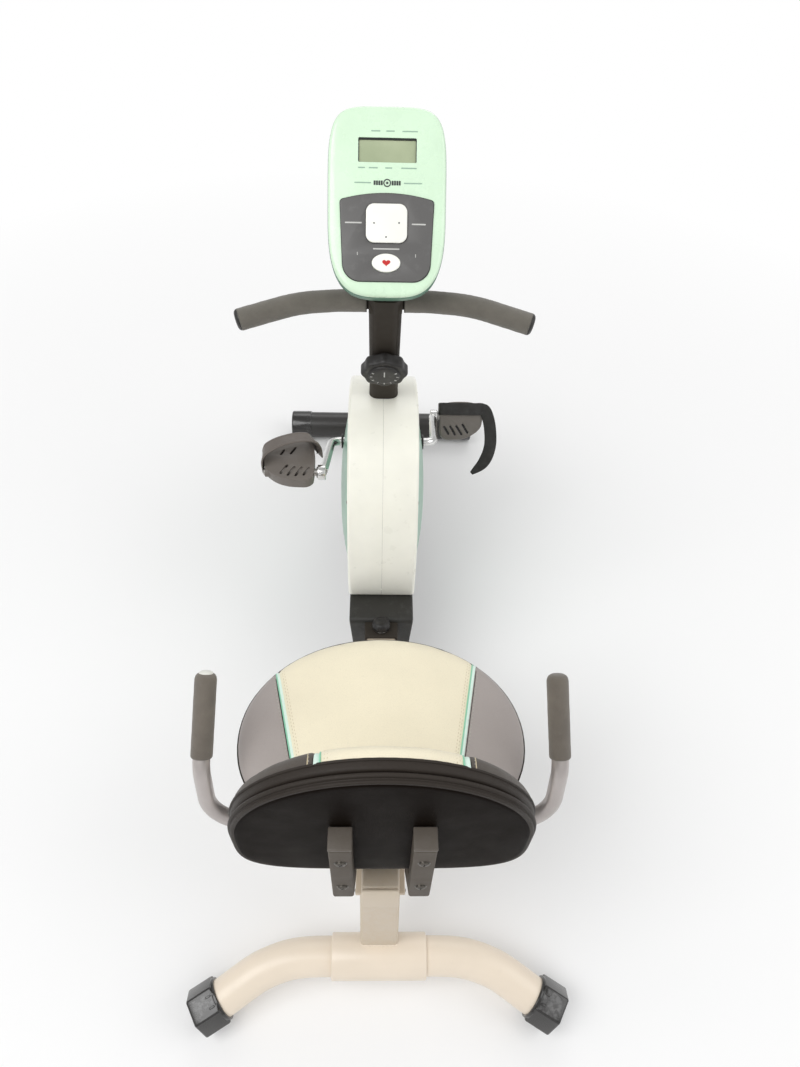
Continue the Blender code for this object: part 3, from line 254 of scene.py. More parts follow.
# ------------------------------------------------------------------ kinds of material Each
# takes an 8-bit sRGB colour.
def paint(name, rgb, slot=None, rough=0.36, scuff=0.10, peel=0.10, coat=0.25, rubbed=0.35,
          specular=0.5):
    """Powder coat: orange peel, a soft clear layer, scuffs and rubbed edges."""
    mat = Material(name, slot or name)
    rgb = linear(rgb)
    base = mat.mottle(rgb, (0.965, 1.03), scale=9, detail=3)
    base = mat.mark(base, shade(rgb, 0.72), scale=1500, detail=1, over=(0.60, 0.72), to=(0.0, 0.10))
    smear = mat.patches(scale=36, detail=5, rough=0.62, stretch=(1, 1, 2.2), over=(0.60, 0.74))
    base = mat.blend(mat.times(smear, scuff), base, shade(rgb, 0.55))
    base = mat.worn_edges(base, wash(rgb, keep=0.5, add=0.32), edge=(0.535, 0.62),
                          scale=120, detail=4, over=(0.42, 0.62), to=(0.0, rubbed))
    gloss = mat.patches(scale=55, detail=4, over=(0.2, 0.8), to=(rough - 0.05, rough + 0.09))
    coarse = mat.bump(mat.noise(scale=420), strength=peel, distance=0.0006)
    fine = mat.bump(mat.noise(scale=1900, detail=1), strength=peel * 0.6, distance=0.0002,
                    under=coarse)
    mat.set(Base_Color=base, Roughness=gloss, Normal=fine, Coat_Weight=coat,
            Coat_Roughness=0.22, Specular_IOR_Level=specular)


def plastic(name, rgb, slot=None, rough=0.35, grain=0.10, grain_scale=1400, coat=0.0,
            wear=0.25, dust=0.06, sub=0.0):
    """Moulded plastic: fine spark texture, slight waves, handling marks and rubbed edges."""
    mat = Material(name, slot or name)
    rgb = linear(rgb)
    base = mat.mottle(rgb, (0.96, 1.035), scale=14, detail=3)
    base = mat.mark(base, wash(rgb, keep=0.55, add=0.20), scale=70, detail=6, rough=0.66,
                    over=(0.54, 0.76), to=(0.0, dust))
    base = mat.worn_edges(base, wash(rgb, keep=0.6, add=0.22), edge=(0.53, 0.62),
                          scale=150, detail=4, over=(0.40, 0.62), to=(0.0, wear))
    gloss = mat.patches(scale=38, detail=5, rough=0.6, over=(0.25, 0.75),
                        to=(max(0.05, rough - 0.06), rough + 0.10))
    waves = mat.bump(mat.noise(scale=22, detail=1), strength=0.03, distance=0.002)
    spark = mat.bump(mat.cells(scale=grain_scale), strength=grain, distance=0.0003, under=waves)
    fine = mat.bump(mat.noise(scale=grain_scale * 0.6, detail=3, rough=0.7),
                    strength=grain * 0.7, distance=0.0003, under=spark)
    mat.set(Base_Color=base, Roughness=gloss, Normal=fine, Coat_Weight=coat,
            Coat_Roughness=0.12, Subsurface_Weight=sub)
    if sub:
        mat.set(Subsurface_Radius=(0.004, 0.004, 0.003))


def vinyl(name, rgb, slot=None, rough=0.42, grain=0.26, scale=620, worn=0.05, sheen=0.06,
          specular=0.5):
    """Upholstery vinyl: pebbled leather grain in two sizes, creases and soiled patches."""
    mat = Material(name, slot or name)
    rgb = linear(rgb)
    wander = mat.add("TexNoise", {"Vector": mat.place, "Scale": 240.0}).outputs["Color"]
    wander = mat.add("VectorMath", {0: wander, "Scale": 0.0016}, operation='SCALE').outputs[0]
    warped = mat.add("VectorMath", {0: mat.place, 1: wander}, operation='ADD').outputs[0]
    pebble = mat.cells(scale=scale, place=warped, feature='DISTANCE_TO_EDGE')
    small_pebble = mat.cells(scale=scale * 2.3, place=warped, feature='DISTANCE_TO_EDGE')
    base = mat.mottle(rgb, (0.955, 1.03), scale=7.5, detail=4, rough=0.6)
    # crevices between the pebbles darkened: painted shade
    pit_shade = mat.span(pebble, over=(0.0, 0.10), to=(0.30, 0.0))
    base = mat.blend(pit_shade, base, shade(rgb, 0.70))
    base = mat.mark(base, shade(rgb, 0.62), scale=46, detail=6, rough=0.7,
                    over=(0.58, 0.80), to=(0.0, worn))
    gloss = mat.patches(scale=16, detail=4, rough=0.6, over=(0.25, 0.75),
                        to=(rough - 0.06, rough + 0.08))
    coarse = mat.bump(mat.span(pebble, over=(0.0, 0.22)), strength=grain, distance=0.0005)
    fine = mat.bump(mat.span(small_pebble, over=(0.0, 0.25)), strength=grain * 0.5,
                    distance=0.0002, under=coarse)
    creases = mat.bump(mat.noise(scale=60, detail=4, rough=0.6), strength=0.06,
                       distance=0.0015, under=fine)
    mat.set(Base_Color=base, Roughness=gloss, Normal=creases, Sheen_Weight=sheen,
            Sheen_Roughness=0.45, Specular_IOR_Level=specular)


def foam(name, rgb):
    """Closed-cell foam: pores and pale specks on a matt skin."""
    mat = Material(name, "foam")
    rgb = linear(rgb)
    base = mat.mottle(rgb, (0.86, 1.12), scale=30, detail=5, rough=0.65, over=(0.32, 0.68))
    # the pores darkened: painted shade in the open cells
    pores = mat.span(mat.cells(scale=900), over=(0.0, 0.28), to=(0.55, 0.0))
    base = mat.blend(pores, base, shade(rgb, 0.45))
    base = mat.mark(base, shade(rgb, 1.55), scale=2200, over=(0.62, 0.72), to=(0.0, 0.35))
    pitted = mat.bump(mat.cells(scale=900), strength=0.40, distance=0.0007)
    uneven = mat.bump(mat.noise(scale=420, detail=4, rough=0.65), strength=0.30,
                      distance=0.0008, under=pitted)
    mat.set(Base_Color=base, Roughness=0.82, Normal=uneven, Sheen_Weight=0.25,
            Sheen_Roughness=0.6, Specular_IOR_Level=0.35)


def metal(name, rgb, slot=None, rough=0.28, brushed=(1, 1, 1), metallic=1.0, tarnish=0.12,
          coat=0.0):
    """Drawn or plated metal: draw lines and dull patches."""
    mat = Material(name, slot or name)
    rgb = linear(rgb)
    base = mat.mottle(rgb, (0.93, 1.03), scale=26, detail=4)
    base = mat.mark(base, shade(rgb, 0.45), scale=130, detail=6, rough=0.7,
                    over=(0.60, 0.76), to=(0.0, tarnish))
    lines = mat.noise(scale=700, detail=3, rough=0.6, stretch=brushed)
    gloss = mat.patches(scale=60, detail=4, rough=0.6, over=(0.25, 0.75),
                        to=(max(0.04, rough - 0.07), rough + 0.10))
    mat.set(Base_Color=base, Metallic=metallic, Roughness=gloss,
            Normal=mat.bump(lines, strength=0.10, distance=0.0002),
            Coat_Weight=coat, Coat_Roughness=0.1)


def rubber(name, rgb, slot="rubber", rough=0.66):
    """Matt rubber with a dusty bloom."""
    mat = Material(name, slot)
    rgb = linear(rgb)
    base = mat.mark(rgb, wash(rgb, keep=0.6, add=0.085), scale=55, detail=6, rough=0.66,
                    over=(0.45, 0.75), to=(0.0, 0.22))
    fine = mat.bump(mat.noise(scale=900, detail=3, rough=0.6), strength=0.22, distance=0.0004)
    broad = mat.bump(mat.noise(scale=180), strength=0.08, distance=0.0008, under=fine)
    gloss = mat.patches(scale=90, detail=3, to=(rough - 0.08, rough + 0.1))
    mat.set(Base_Color=base, Roughness=gloss, Normal=broad)


def lcd():
    """Grey-green display under a glossy window."""
    mat = Material("lcd_glass", "display_glass")
    base = mat.blend(mat.patches(scale=20), linear((160, 172, 138)), linear((178, 188, 154)))
    base = mat.mark(base, linear((206, 212, 190)), scale=240, detail=5, rough=0.7,
                    over=(0.60, 0.78), to=(0.0, 0.18))
    gloss = mat.patches(scale=70, detail=4, to=(0.10, 0.22))
    ripple = mat.bump(mat.noise(scale=30, detail=1), strength=0.02, distance=0.001)
    mat.set(Base_Color=base, Roughness=gloss, Normal=ripple, Coat_Weight=0.8,
            Coat_Roughness=0.06)


def board(name, rgb):
    """Sheet or board: directional fibre and a dull face."""
    mat = Material(name, "board")
    rgb = linear(rgb)
    fibre = mat.noise(scale=60, detail=5, rough=0.6, stretch=(1, 9, 9))
    base = mat.blend(mat.span(fibre, over=(0.35, 0.65)), shade(rgb, 0.8), shade(rgb, 1.15))
    mat.set(Base_Color=base, Roughness=0.72,
            Normal=mat.bump(fibre, strength=0.25, distance=0.0006))


# ------------------------------------------------------------------ the materials
MATT_PAINT = dict(scuff=0.03, peel=0.03, coat=0.0, rubbed=0.02)
paint("cream_paint", (236, 222, 203), scuff=0.07)
# the cream frame paint again, darker: painted shade for the rear leg and the pieces at its top
paint("tan_paint", (206, 192, 172), rough=0.40)
paint("rail_paint", (196, 182, 162), slot="tan_paint", rough=0.38, scuff=0.2)
paint("graphite_paint", (54, 49, 43), rough=0.62, specular=0.18, **MATT_PAINT)
paint("tube_paint", (88, 81, 73), slot="graphite_paint", rough=0.56, specular=0.22, **MATT_PAINT)
paint("black_paint", (40, 38, 36), scuff=0.12, peel=0.14)

metal("silver_paint", (186, 179, 176), rough=0.36, metallic=0.55, tarnish=0.10, coat=0.2)
metal("crank_chrome", (228, 228, 226), rough=0.16, brushed=(0.2, 1, 1), tarnish=0.25)
metal("zinc_steel", (176, 174, 170), slot="steel", rough=0.30, tarnish=0.2)
metal("screw_steel", (96, 92, 86), slot="steel", rough=0.36, tarnish=0.4)
metal("flywheel_iron", (120, 120, 124), slot="iron", rough=0.40, brushed=(8, 1, 1), tarnish=0.3)

plastic("ivory_plastic", (246, 245, 233), rough=0.30, grain=0.03, grain_scale=900, coat=0.30,
        dust=0.05, wear=0.10, sub=0.04)
plastic("teal_plastic", (132, 174, 152), rough=0.32, grain=0.04, coat=0.25, wear=0.15)
plastic("console_teal", (86, 128, 108), slot="teal_plastic", rough=0.32, grain=0.05, coat=0.2,
        wear=0.15)
plastic("mint_plastic", (216, 242, 214), rough=0.26, grain=0.015, grain_scale=1000, coat=0.45,
        dust=0.03, wear=0.06, sub=0.03)
plastic("charcoal_plastic", (40, 39, 35), rough=0.50, grain=0.22, grain_scale=1100, dust=0.10)
plastic("black_plastic", (33, 31, 29), rough=0.38, grain=0.16, grain_scale=1300, dust=0.08)
plastic("gloss_black_plastic", (26, 24, 22), slot="black_plastic", rough=0.20, grain=0.05,
        grain_scale=700, coat=0.5, dust=0.10, wear=0.35)
plastic("knob_plastic", (30, 28, 27), slot="black_plastic", rough=0.44, grain=0.26,
        grain_scale=1000, dust=0.12)
plastic("pedal_plastic", (110, 104, 98), rough=0.46, grain=0.18, grain_scale=1100, dust=0.22,
        wear=0.5)
plastic("keypad_plastic", (96, 95, 94), rough=0.44, grain=0.12, grain_scale=1500, dust=0.20,
        wear=0.15)
plastic("plug_grey", (92, 85, 77), slot="black_plastic", rough=0.42, grain=0.12)
plastic("cap_grey", (222, 222, 214), slot="white_plastic", rough=0.36, grain=0.05, dust=0.05)
plastic("button_white", (247, 247, 240), slot="white_plastic", rough=0.34, grain=0.04,
        coat=0.15, dust=0.03, wear=0.05, sub=0.05)
plastic("shadow_line", (24, 26, 24), slot="black_plastic", rough=0.6, grain=0.05, dust=0.0,
        wear=0.0)
INK = dict(grain=0.02, dust=0.0, wear=0.0)
plastic("print_dark", (58, 64, 60), slot="keypad_plastic", rough=0.5, **INK)
plastic("print_grey", (150, 178, 160), slot="mint_plastic", rough=0.5, **INK)
plastic("print_light", (196, 196, 192), slot="white_plastic", rough=0.5, **INK)
plastic("heart_red", (196, 32, 30), slot="white_plastic", rough=0.4, **INK)

rubber("strap_rubber", (100, 93, 87), rough=0.50)
# the strap rubber again, much darker: painted shade for the right pedal's strap
rubber("strap_tail_rubber", (34, 32, 30), rough=0.55)
rubber("wheel_rubber", (62, 62, 60), slot="wheel_plastic", rough=0.6)
rubber("belt_rubber", (34, 34, 34), rough=0.7)

vinyl("vinyl_cream", (240, 231, 205), slot="seat_vinyl", rough=0.40, worn=0.03)
vinyl("vinyl_grey", (164, 156, 152), slot="seat_vinyl", worn=0.10)
vinyl("vinyl_dark", (50, 44, 39), slot="back_vinyl", rough=0.46, worn=0.10, grain=0.28,
      sheen=0.0, specular=0.20)
vinyl("vinyl_charcoal", (84, 78, 72), slot="back_vinyl", rough=0.44, worn=0.10, grain=0.28,
      sheen=0.0, specular=0.35)
vinyl("vinyl_brown_black", (18, 12, 8), slot="back_vinyl", rough=0.52, worn=0.12, grain=0.22,
      scale=520, sheen=0.0, specular=0.04)
for vinyl_name, vinyl_rgb in (("vinyl_mint", (222, 243, 232)),
                              ("vinyl_mint_line", (146, 214, 182))):
    vinyl(vinyl_name, vinyl_rgb, slot="mint_plastic", rough=0.34, worn=0.02, grain=0.10,
          sheen=0.0)
vinyl("thread_cream", (206, 192, 160), slot="seat_vinyl", rough=0.6, grain=0.4, scale=3000)
vinyl("thread_grey", (188, 184, 176), slot="back_vinyl", rough=0.6, grain=0.4, scale=3000)

foam("grip_foam", (106, 99, 90))
foam("bar_foam", (101, 97, 89))
lcd()
board("base_board", (52, 44, 38))
board("circuit_board", (40, 104, 62))


# ------------------------------------------------------------------ outlines and paths
def superellipse(half_x, half_up, half_down, power_up, power_down, count, centre=(0.0, 0.0)):
    """Closed outline whose upper and lower halves have their own height and squareness."""
    points = []
    for i in range(count):
        angle = 2 * pi * i / count
        high, wide = sin(angle), cos(angle)
        power, half = (power_up, half_up) if high >= 0 else (power_down, half_down)
        points.append((centre[0] + half_x * copysign(abs(wide) ** (2 / power), wide),
                       centre[1] + half * copysign(abs(high) ** (2 / power), high)))
    return points


def even(points, count):
    """The closed outline again, with points spread evenly along it."""
    ring = np.array(list(points) + [points[0]], float)
    lengths = np.linalg.norm(np.diff(ring, axis=0), axis=1)
    travel = np.concatenate([[0], np.cumsum(lengths)])
    wanted = np.linspace(0, travel[-1], count, endpoint=False)
    columns = [np.interp(wanted, travel, ring[:, k]) for k in range(ring.shape[1])]
    return [tuple(row) for row in np.stack(columns, 1)]


def rounded(points, radii, steps=6):
    """Closed 2D outline with its corners rounded by one radius or a list of them."""
    out = []
    count = len(points)
    if not isinstance(radii, (list, tuple)):
        radii = [radii] * count
    for i in range(count):
        before, corner, after = (Vector(points[(i + k) % count]) for k in (-1, 0, 1))
        radius = radii[i]
        if radius <= 0:
            out.append(tuple(corner))
            continue
        back, ahead = (before - corner).normalized(), (after - corner).normalized()
        half = acos(max(-1, min(1, back.dot(ahead)))) / 2
        reach = radius / tan(half)
        centre = corner + (back + ahead).normalized() * (radius / sin(half))
        start, end = corner + back * reach - centre, corner + ahead * reach - centre
        first = atan2(start.y, start.x)
        turn = (atan2(end.y, end.x) - first + pi) % (2 * pi) - pi
        for k in range(steps + 1):
            angle = first + turn * k / steps
            out.append((centre.x + radius * cos(angle), centre.y + radius * sin(angle)))
    return out


def rect(width, height, radius, centre=(0.0, 0.0), steps=8):
    x, y = width / 2, height / 2
    corners = [(centre[0] + x * across, centre[1] + y * up)
               for across, up in ((-1, -1), (1, -1), (1, 1), (-1, 1))]
    return rounded(corners, radius, steps)


def circle(radius, count, centre=(0.0, 0.0)):
    return [(centre[0] + radius * cos(2 * pi * i / count),
             centre[1] + radius * sin(2 * pi * i / count)) for i in range(count)]


def smooth_path(points, radii, steps):
    """Open 3D path with its inner corners rounded by one radius or a list of them."""
    points = [Vector(p) for p in points]
    out = [points[0]]
    for i in range(1, len(points) - 1):
        radius = radii[i - 1] if isinstance(radii, (list, tuple)) else radii
        corner = points[i]
        back = (points[i - 1] - corner).normalized()
        ahead = (points[i + 1] - corner).normalized()
        half = acos(max(-1, min(1, back.dot(ahead)))) / 2
        reach = radius / tan(half)
        centre = corner + (back + ahead).normalized() * (radius / sin(half))
        start, end = corner + back * reach - centre, corner + ahead * reach - centre
        arc = pi - 2 * half
        for k in range(steps + 1):
            t = k / steps
            out.append(centre + (start * sin((1 - t) * arc) + end * sin(t * arc)) / sin(arc))
    out.append(points[-1])
    return out


def fillet_profile(points, radius, steps):
    """Open (radius, height) profile with its inner corners rounded."""
    return [(p.x, p.y) for p in smooth_path([(x, y, 0) for x, y in points], radius, steps)]


def flowing(points, per):
    """Smooth curve through every point, with `per` steps between neighbours."""
    knots = [Vector(p) for p in points]
    knots = [knots[0] * 2 - knots[1]] + knots + [knots[-1] * 2 - knots[-2]]
    out = []
    for i in range(1, len(knots) - 2):
        before, here, after, beyond = knots[i - 1:i + 3]
        for k in range(per):
            t = k / per
            out.append(0.5 * ((2 * here) + (after - before) * t
                              + (2 * before - 5 * here + 4 * after - beyond) * t * t
                              + (3 * here - before - 3 * after + beyond) * t ** 3))
    out.append(knots[-2])
    return out


def dense(path, step):
    """Path again with points no further apart than step."""
    out = [Vector(path[0])]
    for start, end in zip(path, path[1:]):
        start, end = Vector(start), Vector(end)
        count = max(1, ceil((end - start).length / step))
        out += [start.lerp(end, k / count) for k in range(1, count + 1)]
    return out


def along(path, up=None):
    """(point, tangent, normal, side) at every point, carried along without twist."""
    points = [Vector(p) for p in path]
    last = len(points) - 1
    tangents = [(points[min(i + 1, last)] - points[max(i - 1, 0)]).normalized()
                for i in range(last + 1)]
    if up is None:
        up = Vector((0, 0, 1)) if abs(tangents[0].z) < 0.9 else Vector((0, 1, 0))
    normal = Vector(up)
    out = []
    for point, tangent in zip(points, tangents):
        normal = (normal - tangent * normal.dot(tangent)).normalized()
        out.append((point, tangent, normal, tangent.cross(normal)))
    return out


def round_ring(centre, first, second, radius, count=10):
    """Circle of points in the plane of two unit vectors."""
    return [centre + first * (radius * cos(2 * pi * k / count))
            + second * (radius * sin(2 * pi * k / count)) for k in range(count)]


# ------------------------------------------------------------------ mesh builders
def new_object(name, mesh, matrix=WORLD_AXES):
    obj = bpy.data.objects.new(name, mesh)
    scene.collection.objects.link(obj)
    obj.matrix_world = matrix
    return obj


def mesh_of(edit, name):
    """New mesh from a bmesh, which is freed."""
    mesh = bpy.data.meshes.new(name)
    edit.to_mesh(mesh)
    edit.free()
    return mesh


def evaluated_mesh(obj):
    """New mesh of the object with its modifiers applied."""
    bpy.context.view_layer.update()
    graph = bpy.context.evaluated_depsgraph_get()
    return bpy.data.meshes.new_from_object(obj.evaluated_get(graph))


def put(name, verts, faces):
    mesh = bpy.data.meshes.new(name)
    mesh.from_pydata([tuple(v) for v in verts], [], faces)
    edit = bmesh.new()
    edit.from_mesh(mesh)
    bmesh.ops.remove_doubles(edit, verts=edit.verts, dist=0.0000015)
    bmesh.ops.recalc_face_normals(edit, faces=edit.faces)
    edit.to_mesh(mesh)
    edit.free()
    return new_object(name, mesh)


def skin(name, rings, caps=True, cyclic=False):
    """Quads between closed rings of equal count."""
    count, total = len(rings[0]), len(rings)
    faces = []
    for i in range(total if cyclic else total - 1):
        j = (i + 1) % total
        for k in range(count):
            l = (k + 1) % count
            faces.append((i * count + k, i * count + l, j * count + l, j * count + k))
    if caps and not cyclic:
        faces.append(tuple(range(count)))
        faces.append(tuple((total - 1) * count + k for k in range(count)))
    return put(name, [v for ring in rings for v in ring], faces)


def sweep(name, path, section, up=None):
    """section(i, share) gives (side, up) points of the ring at point i."""
    stations = along(path, up)
    rings = [[point + side * u + normal * v for u, v in section(i, i / (len(stations) - 1))]
             for i, (point, tangent, normal, side) in enumerate(stations)]
    return skin(name, rings)


def round_bar(name, path, radius, count=36, fillet=0.0, wobble=None):
    """Round bar along a path; each end face lies one fillet deep inside a rounded rim."""
    stations = along(path)
    last = len(stations) - 1
    steps = 5

    def ring(i, push, inset=0.0):
        point, tangent, normal, side = stations[i]
        centre = point + tangent * push
        points = []
        for k in range(count):
            angle = 2 * pi * k / count
            reach = radius - inset + (wobble(i, angle) if wobble else 0.0)
            points.append(centre + side * (reach * cos(angle)) + normal * (reach * sin(angle)))
        return points
    rim = []
    if fillet:
        rim = [(fillet * (1 - cos(pi / 2 * (1 - k / steps))), fillet * (1 - sin(pi / 2 * k / steps)))
               for k in range(steps)]
    rings = [ring(0, push, inset) for push, inset in rim]
    rings += [ring(i, {0: fillet, last: -fillet}.get(i, 0.0)) for i in range(last + 1)]
    rings += [ring(last, -push, inset) for push, inset in reversed(rim)]
    return skin(name, rings)


def turned(name, profile, origin, axis, count=64, closed=False, flutes=None):
    """Lathe work: (radius, height) points; flutes = (number, depth, from height, to height)."""
    turn = Vector(axis).to_track_quat('Z', 'Y').to_matrix()
    origin = Vector(origin)
    rings = []
    for radius, height in profile:
        ring = []
        for k in range(count):
            angle = 2 * pi * k / count
            reach = radius
            if flutes and flutes[2] <= height <= flutes[3]:
                reach -= flutes[1] * (0.5 - 0.5 * cos(flutes[0] * angle)) ** 2
            ring.append(origin + turn @ Vector((reach * cos(angle), reach * sin(angle), height)))
        rings.append(ring)
    return skin(name, rings, caps=False, cyclic=closed)


def plate(name, outlines, thick, matrix, at=0.0):
    """Flat piece from an outline and the holes in it, centred at height `at`."""
    curve = bpy.data.curves.new(name, 'CURVE')
    curve.dimensions = '2D'
    curve.fill_mode = 'BOTH'
    curve.extrude = thick / 2
    for outline in outlines:
        spline = curve.splines.new('POLY')
        spline.points.add(len(outline) - 1)
        for point, (x, y) in zip(spline.points, outline):
            point.co = (x, y, 0, 1)
        spline.use_cyclic_u = True
    drawn = new_object(name + "_curve", curve)
    mesh = evaluated_mesh(drawn)
    bpy.data.objects.remove(drawn, do_unlink=True)
    bpy.data.curves.remove(curve)
    edit = bmesh.new()
    edit.from_mesh(mesh)
    bmesh.ops.remove_doubles(edit, verts=edit.verts, dist=0.00001)
    bmesh.ops.recalc_face_normals(edit, faces=edit.faces)
    bmesh.ops.dissolve_limit(edit, angle_limit=radians(0.5), verts=edit.verts, edges=edit.edges)
    edit.to_mesh(mesh)
    edit.free()
    mesh.materials.clear()
    return new_object(name, mesh, matrix @ Matrix.Translation((0, 0, at)))


def soften(obj, width, segments=4, angle=40):
    mod = obj.modifiers.new("edges", 'BEVEL')
    mod.width = width
    mod.segments = segments
    mod.limit_method = 'ANGLE'
    mod.angle_limit = radians(angle)
    return obj


def box(name, size, centre=(0, 0, 0), matrix=WORLD_AXES, bevel=0.0, segments=4):
    edit = bmesh.new()
    bmesh.ops.create_cube(edit, size=1.0)
    bmesh.ops.scale(edit, vec=size, verts=edit.verts)
    bmesh.ops.translate(edit, vec=centre, verts=edit.verts)
    obj = new_object(name, mesh_of(edit, name), matrix)
    return soften(obj, bevel, segments) if bevel else obj


def rod(name, radius, start, end, segments=48, end_radius=None, bevel=0.0):
    start, end = Vector(start), Vector(end)
    axis = end - start
    edit = bmesh.new()
    bmesh.ops.create_cone(edit, cap_ends=True, segments=segments, radius1=radius,
                          radius2=end_radius or radius, depth=axis.length)
    obj = new_object(name, mesh_of(edit, name), facing((start + end) / 2, axis))
    return soften(obj, bevel, 4, 60) if bevel else obj


def rod_x(name, radius, centre_yz, start_x, end_x, segments=48, bevel=0.0):
    """Rod parallel to X."""
    return rod(name, radius, (start_x, *centre_yz), (end_x, *centre_yz), segments, bevel=bevel)


def combine(obj, operands, operation):
    for operand in operands:
        mod = obj.modifiers.new(operation.lower(), 'BOOLEAN')
        mod.operation = operation
        mod.solver = 'EXACT'
        mod.object = operand
        if operand not in scrap:
            scrap.append(operand)


def cut(obj, *operands):
    combine(obj, operands, 'DIFFERENCE')


def weld(obj, *operands):
    combine(obj, operands, 'UNION')


def settle(obj, material, *stands_for, body="frame", angle=38):
    """Applies modifiers and the matrix, gives material names, body and CAD nodes replaced."""
    mesh = evaluated_mesh(obj)
    mesh.transform(obj.matrix_world)
    obj.modifiers.clear()
    old = obj.data
    obj.data = mesh
    if old.users == 0:
        bpy.data.meshes.remove(old)
    mesh.name = obj.name
    obj.matrix_world = WORLD_AXES
    chosen = [MATERIALS[n] for n in ([material] if isinstance(material, str) else material)]
    # slots already in the mesh are filled in place, which keeps the faces' slot numbers
    if len(mesh.materials) != len(chosen):
        mesh.materials.clear()
        for mat in chosen:
            mesh.materials.append(mat.data)
    else:
        for i, mat in enumerate(chosen):
            mesh.materials[i] = mat.data
    mesh.shade_smooth()
    if angle:
        mesh.set_sharp_from_angle(angle=radians(angle))
    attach(obj, body)
    if stands_for:
        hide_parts(*stands_for)
    return obj


def join(name, parts):
    """Several meshes as one piece."""
    edit = bmesh.new()
    for part in parts:
        mesh = evaluated_mesh(part)
        mesh.transform(part.matrix_world)
        edit.from_mesh(mesh)
        bpy.data.meshes.remove(mesh)
    for part in parts:
        bpy.data.objects.remove(part, do_unlink=True)
    return new_object(name, mesh_of(edit, name))


def from_cad(node, name, material, body="frame", bevel=0.0008):
    """The CAD node's own shape with its edges finished."""
    edit = bmesh.new()
    edit.from_mesh(nodes[node].data)
    bmesh.ops.remove_doubles(edit, verts=edit.verts, dist=0.000002)
    bmesh.ops.dissolve_limit(edit, angle_limit=radians(0.4), verts=edit.verts, edges=edit.edges)
    obj = new_object(name, mesh_of(edit, name))
    if bevel:
        soften(obj, bevel, 2, 42)
    settle(obj, material, node, body=body)


def bead(name, path, radius, material, body="frame", closed=True, seed=0):
    """Weld bead: a lumpy cord laid along a joint."""
    points = dense(list(path) + ([path[0]] if closed else []), 0.0016)
    if closed:
        points.pop()
    count = len(points)
    rings = []
    for i, point in enumerate(points):
        before = points[(i - 1) % count if closed else max(i - 1, 0)]
        after = points[(i + 1) % count if closed else min(i + 1, count - 1)]
        tangent = (after - before).normalized()
        lean = Vector((0.3, 0.2, 0.93))
        normal = (lean - tangent * lean.dot(tangent)).normalized()
        lump = 0.15 * noise.noise(point * 260 + Vector((seed, 0, 0)))
        thick = radius * (1 + 0.20 * sin(i * 1.35) + lump)
        rings.append(round_ring(point, normal, tangent.cross(normal), thick))
    settle(skin(name, rings, caps=not closed, cyclic=closed), material, body=body, angle=0)


@functools.cache
def screw_head(radius, height, recess):
    """Mesh of a domed head with a washer face and a driver recess, facing +Z."""
    dome = [(radius * sin(radians(d)), height * (0.35 + 0.65 * cos(radians(d))))
            for d in (15, 30, 45, 60, 75, 88)]
    profile = [(0.0, height)] + dome + [
        (radius, 0.0003), (radius * 1.22, 0.0003), (radius * 1.25, 0.0),
        (radius * 1.25, -0.0006), (0.0, -0.0006)]
    head = turned("screw_head", profile, (0, 0, 0), (0, 0, 1), 28)
    if recess == 'cross':
        arm, slit, centre = radius * 1.15, radius * 0.20, (0, 0, height * 0.95)
        cut(head, box("recess_a", (arm, slit, height), centre),
            box("recess_b", (slit, arm, height), centre))
    else:
        cut(head, rod("recess_hex", radius * 0.48, (0, 0, height * 0.35), (0, 0, height * 1.5),
                      segments=6))
    mesh = evaluated_mesh(head)
    bpy.data.objects.remove(head, do_unlink=True)
    return mesh


def screws(name, spots, radius, height, recess='cross', material="screw_steel", body="frame"):
    """Screw heads as one piece; spots are (place, outward direction, spin)."""
    heads = [new_object("screw", screw_head(radius, height, recess).copy(),
                        facing(place, outward) @ Matrix.Rotation(spin, 4, 'Z'))
             for place, outward, spin in spots]
    settle(join(name, heads), material, body=body)


# ------------------------------------------------------------------ rear stabiliser
# (x, share of the way from the middle of the tube to its end, in y and z)
REAR_STATIONS = [(0.0, 0.0), (0.05, 0.0), (0.10, 0.0), (0.135, 0.03), (0.165, 0.12),
                 (0.197, 0.29), (0.225, 0.52), (0.252, 0.76)]
right_arm = [Vector((x, *(mid + (end - mid) * share for mid, end in zip(REAR_YZ, REAR_END[1:]))))
             for x, share in REAR_STATIONS] + [Vector(REAR_END)]
rear_line = [on_side(p, -1) for p in reversed(right_arm[1:])] + right_arm
settle(round_bar("rear_stabilizer_tube", flowing(rear_line, 8), REAR_TUBE_R, 44, 0.0012),
       "cream_paint", "rear_stabilizer")
rear_end_dir = (right_arm[-1] - right_arm[-2]).normalized()


